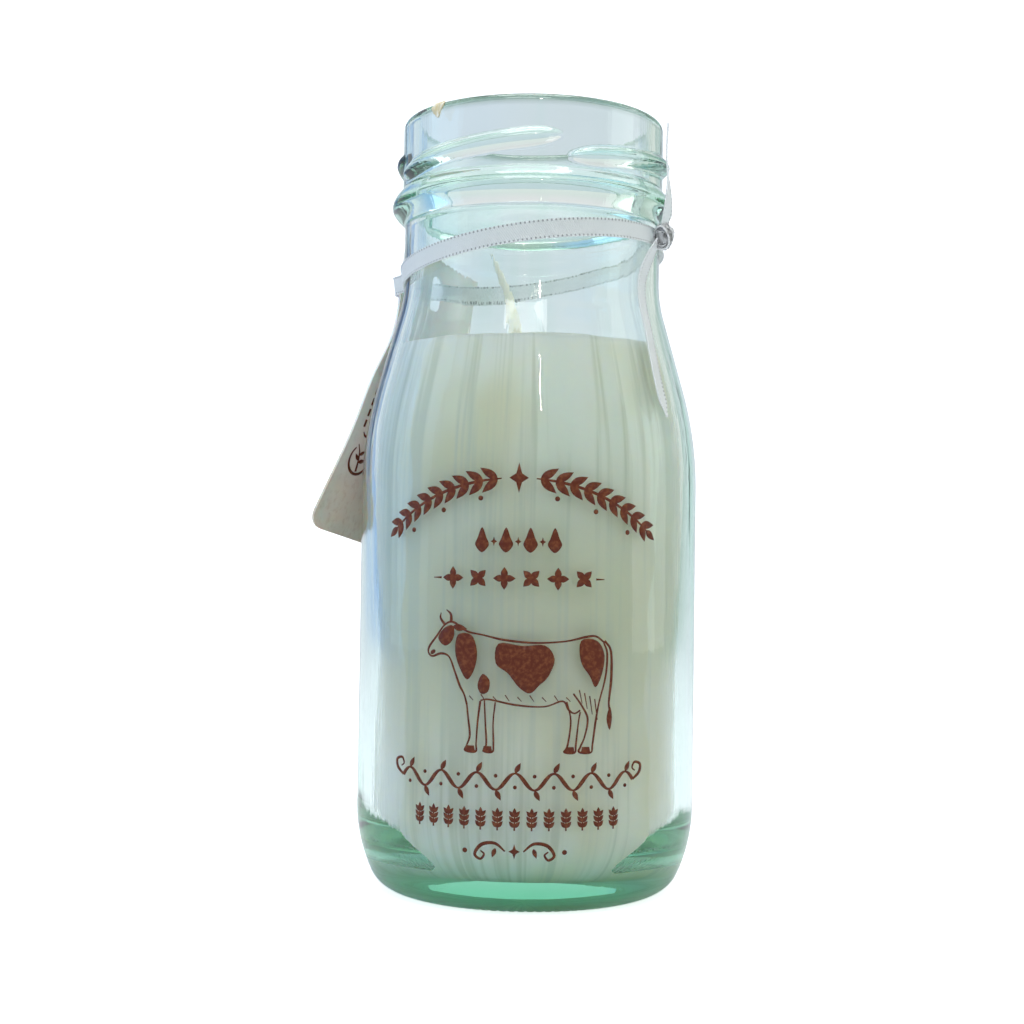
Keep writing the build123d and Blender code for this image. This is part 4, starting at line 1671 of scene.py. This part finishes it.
@dataclass
class HangTag(SubAssembly):
    """The card swing tag with its printed mark. Sizes in millimetres."""

    wide: float = 24.0
    long: float = 55.0
    thick: float = 0.45
    corner: float = 3.0
    hole: float = 3.0
    hole_to_side: float = 8.2
    hole_to_top: float = 7.0
    azimuth: float = -121.5
    hole_r: float = 24.5
    hole_z: float = 108.2
    lean: float = 14.4
    bend_r: float = 220.0
    hang: float = 10.5
    ink_thick: float = 0.03
    frame_insets: Pair = (0.9, 1.7)

    def outline(self) -> Outline:
        """Draw the card's outline with two rounded lower corners."""
        right, left = self.hole_to_side, self.hole_to_side - self.wide
        top, bottom = self.hole_to_top, self.hole_to_top - self.long
        corner_z = bottom + self.corner

        def corner(x: float, start: float) -> Outline:
            """Draw a quarter turn about a rounded corner's centre."""
            turns = [math.radians(start - 90 * n / 8) for n in range(1, 9)]
            return [
                (x + self.corner * math.cos(a), corner_z + self.corner * math.sin(a)) for a in turns
            ]

        ring = [(left + self.wide * n / 16, top) for n in range(17)]
        ring += [(right, top + (corner_z - top) * n / 40) for n in range(1, 41)]
        ring += corner(right - self.corner, 0)
        across = left - right + 2 * self.corner
        ring += [(right - self.corner + across * n / 12, bottom) for n in range(1, 13)]
        ring += corner(left + self.corner, -90)
        ring += [(left, corner_z + (top - corner_z) * n / 40) for n in range(1, 40)]
        return ring

    def placed(self, spots: np.ndarray, lift: float) -> np.ndarray:
        """Lay flat card points on the hung, bent card.

        Args:
            spots: Distances along the width and up the length from the hole's centre.
            lift: Distance off the card's middle, outwards.

        Returns:
            The points in space.
        """
        u, v = spots[:, 0], spots[:, 1]
        bend_v = (self.hole_to_top - self.long) / 2
        sag = self.bend_r - math.sqrt(self.bend_r**2 - bend_v**2)
        angle = (v - bend_v) / self.bend_r
        y = bend_v + (self.bend_r - lift) * np.sin(angle)
        z = self.bend_r - sag - (self.bend_r - lift) * np.cos(angle)
        near = smooth_step(u, 0.5, self.hole_to_side + 2.0)
        curl = -2.2 * np.exp(-(((v + 9.0) / np.where(v > -9.0, 10.0, 7.5)) ** 2))
        flare = 1.6 * smooth_step(-v, 24.0, 47.0)
        z = z + near * (curl + flare)
        local = np.stack([u, y, z], axis=1)
        turn = Matrix.Rotation(math.radians(self.azimuth), 3, "Z")
        turn = turn @ Matrix.Rotation(math.radians(90 - self.lean), 3, "X")
        turn = turn @ Matrix.Rotation(math.radians(self.hang), 3, "Z")
        return local @ np.array(turn).T + around(self.azimuth, self.hole_r, self.hole_z)

    def ring_mark(self) -> list[Outline]:
        """Draw a small generic mark: a sprig in an open ring."""
        turns = [math.radians(t) for t in range(-200, 60, 20)]
        ring = [(2.6 * math.cos(t), 2.9 * math.sin(t)) for t in turns]
        last = len(ring) - 1
        widths = [0.25 + 0.3 * math.sin(math.pi * n / last) for n in range(last + 1)]
        shapes = stroke(ring, widths, 4)
        stem = [(-0.2, -2.4), (0.1, -0.6), (0.7, 1.2), (1.7, 2.6)]
        shapes += stroke(stem, [0.5, 0.4, 0.3, 0.2], 6)
        shapes += [leaf(0.1, -0.6, 1.9, 0.8, 158), leaf(0.5, 0.7, 1.8, 0.7, 142)]
        shapes.append(leaf(0.2, -0.3, 1.7, 0.7, 38))
        return shapes

    def marks(self) -> list[list[Outline]]:
        """Draw the inner face's print: the mark and a few plain rules."""
        middle = (3.3, -33.4)
        mark = [[(x + middle[0], y + middle[1]) for x, y in shape] for shape in self.ring_mark()]
        rules = []
        columns = ((5.2, -27.5, -14.0), (3.4, -27.0, -16.5), (1.6, -26.0, -13.0))
        for n, (x, low, high) in enumerate(columns):
            dashes = np.arange(low, high, 2.1 + 0.3 * n)
            rules += [[(x, a), (x + 0.55, a), (x + 0.55, a + 1.4), (x, a + 1.4)] for a in dashes]
        arch = [(5.0, -28.4), (4.2, -29.0), (2.6, -28.9), (1.3, -28.2)]
        return [mark, rules, stroke(arch, [0.2, 0.45, 0.45, 0.2], 5)]

    def border(self) -> list[Outline]:
        """Draw the outer and inner lines of the outer face's printed frame."""
        ring = np.array(self.outline())
        middle = ring.mean(axis=0)
        half = np.array([self.wide / 2, self.long / 2])
        insets = [middle + (ring - middle) * (1 - inset / half) for inset in self.frame_insets]
        return [[tuple(spot) for spot in line] for line in insets]

    def build(self) -> None:
        """Build and dress the tag and its print."""
        half = self.thick / 2
        shape = [self.outline(), oval(0.0, 0.0, self.hole, self.hole, count=40)]

        def in_hole(x: float, y: float) -> bool:
            """Say whether a place is in the punched hole."""
            return math.hypot(x, y) < self.hole - 0.01

        card = laid_mesh("swing_tag_card", shape, 1.3, self.placed, (-half, half), in_hole)
        card.set_sharp_from_angle(angle=math.radians(50))
        self.put("swing_tag_card", card, self.finishes.card, Body.TAG, Slot.CARD, "hang_tag")
        inner = (-half - self.ink_thick, -half + 0.01)
        for n, group in enumerate(self.marks()):
            name = f"tag_print_inner_{n}"
            mesh = laid_mesh(name, group, 1.0, self.placed, inner)
            self.put(name, mesh, self.finishes.ink, Body.TAG, Slot.INK)
        border = self.border()
        outer = (half - 0.01, half + self.ink_thick)

        def in_frame(x: float, y: float) -> bool:
            """Say whether a place is inside the frame's inner line."""
            return inside(border[1], x, y)

        mesh = laid_mesh("tag_print_frame", border, 1.0, self.placed, outer, in_frame)
        self.put("tag_print_frame", mesh, self.finishes.ink, Body.TAG, Slot.INK)


class Ornament(Enum):
    """The printed ornaments, from the top of the front down."""

    ARCH = "arch_of_leaves"
    DROPS = "row_of_drops"
    STARS = "row_of_stars"
    COW = "standing_cow"
    SCROLL = "long_scroll"
    WHEAT = "row_of_wheat"
    FLOURISH = "small_flourish"


@dataclass
class FrontDecoration(SubAssembly):
    """The brown ornament printed on the front. Sizes in millimetres."""

    bottle: GlassBottle
    centre: float = -1.6
    arch_r: float = 36.5
    arch_top: float = 74.0
    ink_thick: float = 0.045
    ink_bite: float = 0.012
    drop_shape: tuple[Pair, ...] = (
        (0.0, 63.7), (0.75, 62.0), (1.15, 60.8), (0.0, 59.6), (-1.15, 60.8), (-0.75, 62.0),
    )

    def placed(self, spots: np.ndarray, lift: float) -> np.ndarray:
        """Lay flat print points on the glass; lift is the height off it."""
        s, z = spots[:, 0] + self.centre, spots[:, 1]
        azimuth = np.degrees(s / self.bottle.body_r)
        radius = self.bottle.outside(z) + self.bottle.outer_wave(azimuth, z)
        return around(azimuth, radius + lift, z)

    def arch(self) -> list[Outline]:
        """Draw an arch of paired leaves on a stem, with a diamond at its crown."""
        middle_z = self.arch_top - 2.2 - self.arch_r

        def on_arch(angle: float, off: float = 0.0) -> Pair:
            """Give the place at an angle from the crown and a distance off the arch."""
            t = math.radians(angle)
            return ((self.arch_r + off) * math.sin(t), middle_z + (self.arch_r + off) * math.cos(t))

        shapes = [diamond(*on_arch(0.0), 1.6, 2.5)]
        for side in (-1, 1):
            stem = [on_arch(side * a) for a in (4.5, 10, 16, 22, 28, 34, 39.5)]
            shapes += stroke(stem, [0.2, 0.45, 0.5, 0.5, 0.45, 0.4, 0.25], 5)
            for n in range(9):
                angle = 5.5 + 3.9 * n
                x, y = on_arch(side * angle)
                lie = 180 - angle if side < 0 else angle
                along = (180 + angle) if side < 0 else -angle
                length = 3.5 - 0.07 * n
                shapes.append(leaf(x, y, length, 1.35, along + side * 36))
                shapes.append(leaf(x, y, length, 1.35, along - side * 36))
                if n % 3 == 1:
                    shapes.append(oval(*on_arch(side * (angle + 1.4), -2.75), 0.42, 0.42, lie, 12))
            shapes.append(leaf(*on_arch(side * 39.0), 2.6, 1.2, (180 + 40) if side < 0 else -40))
        return shapes

    def drops(self) -> list[Outline]:
        """Draw four drops in a row with small leaves between them."""
        shapes = []
        for n in range(4):
            shapes.append(blob([(4.0 * n - 6.0 + x, z) for x, z in self.drop_shape]))
        for n in range(3):
            shapes.append(diamond(-4.0 + 4.0 * n, 61.4, 0.55, 0.8))
        return shapes

    def stars(self) -> list[Outline]:
        """Draw six quatrefoils with fine rules at each end."""
        shapes = []
        for n in range(6):
            x = -11.0 + 4.4 * n
            for q in range(4):
                shapes.append(leaf(x, 55.4, 1.85, 1.15, 90 * q + 45 * (n % 2)))
            shapes.append(oval(x, 55.4, 0.5, 0.5, 0, 12))
        for side in (-1, 1):
            shapes += stroke([(side * 13.1, 55.4), (side * 14.6, 55.4)], [0.35, 0.15], 3)
        return shapes

    @staticmethod
    def cow() -> list[Outline]:
        """Draw a plain standing cow in pen strokes, with a few patches, looking left."""
        back = [(14.6, 18.0), (13.2, 18.9), (11.4, 18.8), (8.0, 18.1), (3.0, 17.8),
                (-2.0, 18.2), (-5.4, 18.9),
                (-8.4, 19.5), (-10.8, 20.9), (-12.4, 20.4), (-14.0, 18.4), (-15.3, 16.8),
                (-15.5, 15.8),
                (-14.7, 15.2), (-13.0, 15.7), (-11.5, 15.2), (-10.4, 12.8), (-9.5, 10.6),
                (-8.7, 9.2), (-8.2, 7.6)]
        front_leg = [(-8.2, 7.6), (-7.9, 5.2), (-7.6, 2.6), (-8.1, 1.0), (-8.4, 0.1),
                     (-6.6, 0.0), (-6.5, 1.4),
                     (-6.3, 4.8), (-5.9, 8.2)]
        belly = [(-5.9, 8.3), (-4.4, 8.5), (0.0, 7.7), (4.6, 7.5), (7.6, 8.4), (8.6, 7.0),
                 (9.6, 6.4), (10.6, 6.9)]
        hind_leg = [(9.4, 9.6), (11.0, 7.4), (11.9, 5.4), (11.4, 2.6), (10.7, 1.0),
                    (10.5, 0.1), (12.5, 0.0),
                    (12.8, 1.4), (13.3, 5.0), (13.9, 8.2), (15.0, 12.2), (15.3, 16.0),
                    (14.6, 18.0)]
        far_front = [(-5.2, 8.3), (-5.0, 4.8), (-4.8, 1.2), (-5.3, 0.1), (-3.8, 0.0),
                     (-3.6, 1.2), (-3.7, 4.8), (-3.4, 8.1)]
        far_hind = [(8.3, 8.3), (9.0, 5.2), (8.5, 1.2), (7.9, 0.1), (9.7, 0.0), (9.9, 1.3),
                    (10.3, 5.0), (10.6, 6.6)]
        tail = [(14.8, 18.2), (16.0, 16.4), (16.1, 12.0), (15.7, 8.2), (15.9, 6.6)]
        shapes: list[Outline] = []
        strokes = ((back, 0.34), (front_leg, 0.32), (belly, 0.3), (hind_leg, 0.32))
        strokes += ((far_front, 0.28), (far_hind, 0.28), (tail, 0.42))
        for line, pen in strokes:
            shapes += stroke(line, [pen * (0.85 + 0.3 * (n % 3) / 2) for n in range(len(line))], 5)
        patches = [
            [(-3.0, 17.6), (1.0, 17.3), (4.6, 17.4), (6.2, 15.2), (5.2, 12.4), (3.8, 11.0),
             (2.2, 9.6), (0.4, 10.6),
             (-1.4, 12.8), (-3.4, 14.4)],
            [(-9.9, 18.9), (-7.6, 18.9), (-6.6, 16.4), (-6.9, 13.6), (-8.2, 11.6),
             (-9.6, 13.6), (-10.4, 16.2)],
            [(10.6, 18.2), (13.4, 18.2), (14.8, 15.8), (14.3, 12.6), (13.2, 10.6),
             (12.2, 12.4), (10.6, 14.8)],
            [(-11.0, 20.4), (-12.6, 19.8), (-13.6, 18.2), (-12.4, 17.0), (-11.2, 17.6),
             (-10.6, 19.0)],
            [(-5.6, 12.6), (-4.4, 11.6), (-4.6, 9.8), (-5.8, 9.4), (-6.4, 10.8)],
        ]
        shapes += [blob(patch, 4) for patch in patches]
        shapes.append(blob([(15.9, 7.4), (16.3, 5.6), (15.9, 3.6), (15.3, 5.4)], 4))
        shapes.append(leaf(-10.9, 20.2, 2.6, 1.1, -8.0))
        shapes += stroke([(-11.2, 20.9), (-11.3, 22.2), (-12.1, 22.9)], [0.55, 0.4, 0.15], 4)
        shapes += stroke([(-12.4, 20.5), (-13.2, 21.5), (-13.1, 22.4)], [0.5, 0.35, 0.12], 4)
        shapes.append(oval(-14.6, 15.9, 0.55, 0.35, 30, 12))
        for n in range(9):
            x = -7.8 + 2.0 * n
            shapes += stroke([(x, 9.0 + 0.3 * (n % 2)), (x + 0.7, 8.3)], [0.2, 0.12], 2)
        for foot in (-7.5, -4.6, 11.6, 8.9):
            hoof = ((-0.85, 0.0), (0.85, 0.0), (0.62, 0.95), (-0.62, 0.95))
            shapes.append([(foot + x, y) for x, y in hoof])
        for n in range(4):
            x = 10.4 + 0.9 * n
            shapes += stroke([(x, 10.2 - 0.5 * n), (x + 0.5, 8.0 - 0.9 * n)], [0.22, 0.12], 2)
        return [[(x, 27.2 + y) for x, y in shape] for shape in shapes]

    @staticmethod
    def scroll() -> list[Outline]:
        """Draw a long running scroll with curled ends and small leaves."""
        points, widths = [], []
        for n in range(57):
            t = n / 56
            points.append((-20.6 + 41.2 * t, 22.5 + 1.35 * math.sin(t * math.pi * 13)))
            widths.append(0.28 + 0.38 * abs(math.cos(t * math.pi * 13)))
        shapes = stroke(points, widths, 4)
        for n in range(13):
            x = -20.6 + 41.2 * (n + 0.5) / 13
            side = 1 if n % 2 == 0 else -1
            shapes.append(leaf(x, 22.5 + side * 1.4, 1.9, 0.85, 90 * side - 28 * side))
            shapes.append(oval(x, 22.5 - side * 0.9, 0.32, 0.32, 0, 10))
        for side in (-1, 1):
            curl = [(20.6, 22.5), (22.0, 23.6), (22.2, 24.9), (21.0, 25.3)]
            curl += [(20.5, 24.4), (21.1, 23.9)]
            curl = [(side * x, z) for x, z in curl]
            shapes += stroke(curl, [0.35, 0.55, 0.5, 0.4, 0.3, 0.2], 5)
        return shapes

    @staticmethod
    def wheat() -> list[Outline]:
        """Draw a row of small upright ears of wheat."""
        shapes = []
        for n in range(13):
            x = -16.8 + 2.8 * n
            shapes += stroke([(x, 14.6), (x, 17.2)], [0.28, 0.22], 2)
            for level in range(3):
                y = 15.1 + 0.85 * level
                shapes += [leaf(x, y, 1.35, 0.68, 48), leaf(x, y, 1.35, 0.68, 132)]
            shapes.append(leaf(x, 17.1, 1.2, 0.62, 90))
        return shapes

    @staticmethod
    def flourish() -> list[Outline]:
        """Draw a small mirrored flourish with dots."""
        shapes = [diamond(0.0, 11.2, 0.95, 1.25)]
        for side in (-1, 1):
            curl = [(1.5, 11.2), (3.2, 12.5), (5.4, 12.2), (6.6, 10.6)]
            curl += [(5.7, 9.8), (5.0, 10.6), (5.6, 11.2)]
            curl = [(side * x, z) for x, z in curl]
            shapes += stroke(curl, [0.25, 0.5, 0.6, 0.5, 0.42, 0.35, 0.2], 6)
            shapes.append(oval(side * 8.3, 11.1, 0.42, 0.42, 0, 12))
            shapes.append(leaf(side * 3.1, 11.7, 1.7, 0.75, 90 - side * 160))
        return shapes

    def build(self) -> None:
        """Build and dress every ornament."""
        drawings = {
            Ornament.ARCH: self.arch,
            Ornament.DROPS: self.drops,
            Ornament.STARS: self.stars,
            Ornament.COW: self.cow,
            Ornament.SCROLL: self.scroll,
            Ornament.WHEAT: self.wheat,
            Ornament.FLOURISH: self.flourish,
        }
        for ornament, draw in drawings.items():
            sides = (-self.ink_bite, self.ink_thick)
            mesh = laid_mesh(ornament.value, draw(), 0.9, self.placed, sides)
            self.put(f"print_{ornament.value}", mesh, self.finishes.ink, Body.BOTTLE, Slot.INK)


# ---------------------------------------------------------------- studio


@dataclass(frozen=True)
class Softbox:
    """A soft rectangular lamp that faces a point."""

    name: str
    place: tuple[float, float, float]
    size: tuple[float, float]
    power: float
    colour: tuple[float, float, float] = (1.0, 1.0, 1.0)
    target: tuple[float, float, float] = (0.0, 0.0, 0.07)

    def make(self) -> None:
        """Put the lamp in the scene."""
        lamp = bpy.data.lights.new(self.name, "AREA")
        lamp.shape = "RECTANGLE"
        lamp.size, lamp.size_y = self.size
        lamp.energy = self.power
        lamp.color = self.colour
        holder = bpy.data.objects.new(self.name, lamp)
        holder.location = self.place
        aim = Vector(self.target) - Vector(self.place)
        holder.rotation_euler = aim.to_track_quat("-Z", "Y").to_euler()
        holder.visible_camera = False
        bpy.context.scene.collection.objects.link(holder)


@dataclass
class Studio:
    """Floor, backdrop, soft light and the camera. Distances in metres, angles in degrees."""

    finishes: Finishes
    lens: float = 58.4
    camera_place: tuple[float, float, float] = (0.0, -0.300, 0.0588)
    pitch: float = 1.57
    yaw: float = 0.57
    roll: float = 0.8
    sweep_radius: float = 0.8
    sweep_depth: float = 1.4
    sweep_high: float = 1.0
    sweep_wide: float = 0.95
    softboxes: tuple[Softbox, ...] = (
        Softbox("left_softbox", (-0.70, -0.05, 0.25), (0.45, 0.60), 0.7, (0.55, 0.76, 1.0)),
        Softbox("right_softbox", (0.75, -0.02, 0.25), (0.45, 0.60), 0.9, (1.0, 0.99, 0.97)),
        Softbox("top_softbox", (0.0, 0.03, 0.80), (0.40, 0.36), 2.4),
        Softbox("front_top_softbox", (-0.05, -0.55, 0.70), (0.45, 0.25), 1.5),
        Softbox("front_strip", (0.075, -0.62, 0.46), (0.012, 0.16), 0.3, (1.0, 0.86, 0.78)),
        Softbox("backdrop_left", (-0.9, 0.45, 1.0), (0.5, 0.8), 1.6, target=(0.1, 1.4, 0.5)),
        Softbox("backdrop_right", (0.9, 0.45, 1.0), (0.5, 0.8), 1.6, target=(-0.1, 1.4, 0.5)),
    )

    def camera(self) -> None:
        """Put the camera in its place."""
        camera = bpy.data.cameras.new("view")
        camera.lens = self.lens
        camera.sensor_width = 36.0
        camera.clip_start = 0.005
        holder = bpy.data.objects.new("view", camera)
        turn = Matrix.Rotation(math.radians(self.yaw), 4, "Z")
        turn = turn @ Matrix.Rotation(math.radians(90 + self.pitch), 4, "X")
        turn = turn @ Matrix.Rotation(math.radians(self.roll), 4, "Z")
        holder.matrix_world = Matrix.Translation(self.camera_place) @ turn
        bpy.context.scene.collection.objects.link(holder)
        bpy.context.scene.camera = holder

    def backdrop(self) -> None:
        """Make the pale floor that curves up behind into the backdrop."""
        radius, depth, front = self.sweep_radius, self.sweep_depth, -2.6
        path = [(front, 0.0), (depth - radius, 0.0)]
        for n in range(1, 17):
            a = math.radians(-90 + 90 * n / 16)
            path.append((depth - radius + radius * math.cos(a), radius + radius * math.sin(a)))
        path.append((depth, self.sweep_high))
        columns = np.linspace(-self.sweep_wide, self.sweep_wide, 25)
        points = [(x, y, z) for y, z in path for x in columns]
        faces = []
        for i in range(len(path) - 1):
            for j in range(len(columns) - 1):
                a = i * len(columns) + j
                faces.append((a, a + 1, a + 1 + len(columns), a + len(columns)))
        mesh = bpy.data.meshes.new("studio_floor")
        mesh.from_pydata(points, [], faces)
        mesh.polygons.foreach_set("use_smooth", [True] * len(faces))
        mesh.materials.append(self.finishes.studio)
        floor = bpy.data.objects.new("studio_floor", mesh)
        bpy.context.scene.collection.objects.link(floor)

    def world(self) -> None:
        """Light the room: white behind and above, tinted at the sides, white to look at."""
        world = bpy.data.worlds.new("room")
        world.use_nodes = True
        world.node_tree.nodes.clear()
        sheet = NodeSheet(world.node_tree)
        right, ahead, up = sheet.split(sheet.add("ShaderNodeTexCoord").outputs["Generated"])
        side = sheet.spread(ahead, 0.3, 1.0)
        cool = sheet.spread(right, -0.8, 0.0)
        sides = sheet.mix(cool, rgb(0.40, 0.64, 1.0), rgb(0.50, 0.60, 0.55))
        colour = sheet.mix(side, sides, rgb(1.0, 0.99, 0.98))
        colour = sheet.mix(sheet.spread(up, 0.25, 0.8), colour, rgb(0.85, 0.86, 0.88))
        seen = sheet.add("ShaderNodeLightPath").outputs["Is Camera Ray"]
        colour = sheet.mix(seen, colour, rgb(1.12, 1.12, 1.12))
        sky = sheet.add("ShaderNodeBackground", {"Color": colour, "Strength": 0.9})
        output = sheet.add("ShaderNodeOutputWorld")
        sheet.feed(output.inputs[0], sky.outputs[0])
        bpy.context.scene.world = world

    def build(self) -> None:
        """Build the studio."""
        self.backdrop()
        self.world()
        for softbox in self.softboxes:
            softbox.make()
        scene = bpy.context.scene
        scene.view_settings.view_transform = "Standard"
        scene.view_settings.exposure = 0.0
        scene.cycles.max_bounces = 20
        scene.cycles.transmission_bounces = 16
        scene.cycles.glossy_bounces = 8
        scene.cycles.diffuse_bounces = 5
        scene.cycles.sample_clamp_indirect = 6.0
        log.info("studio: %d softboxes", len(self.softboxes))


def main() -> None:
    """Build every sub-assembly in order."""
    logging.basicConfig(level=logging.INFO, format="%(name)s: %(message)s")
    finishes = Finishes()
    studio = Studio(finishes)
    studio.camera()
    bottle = GlassBottle(finishes)
    ribbon = NeckRibbon(finishes, bottle)
    ribbon.build()
    bottle.build()
    Candle(finishes, bottle).build()
    HangTag(finishes).build()
    FrontDecoration(finishes, bottle).build()
    studio.build()


if __name__ == "__main__":
    main()
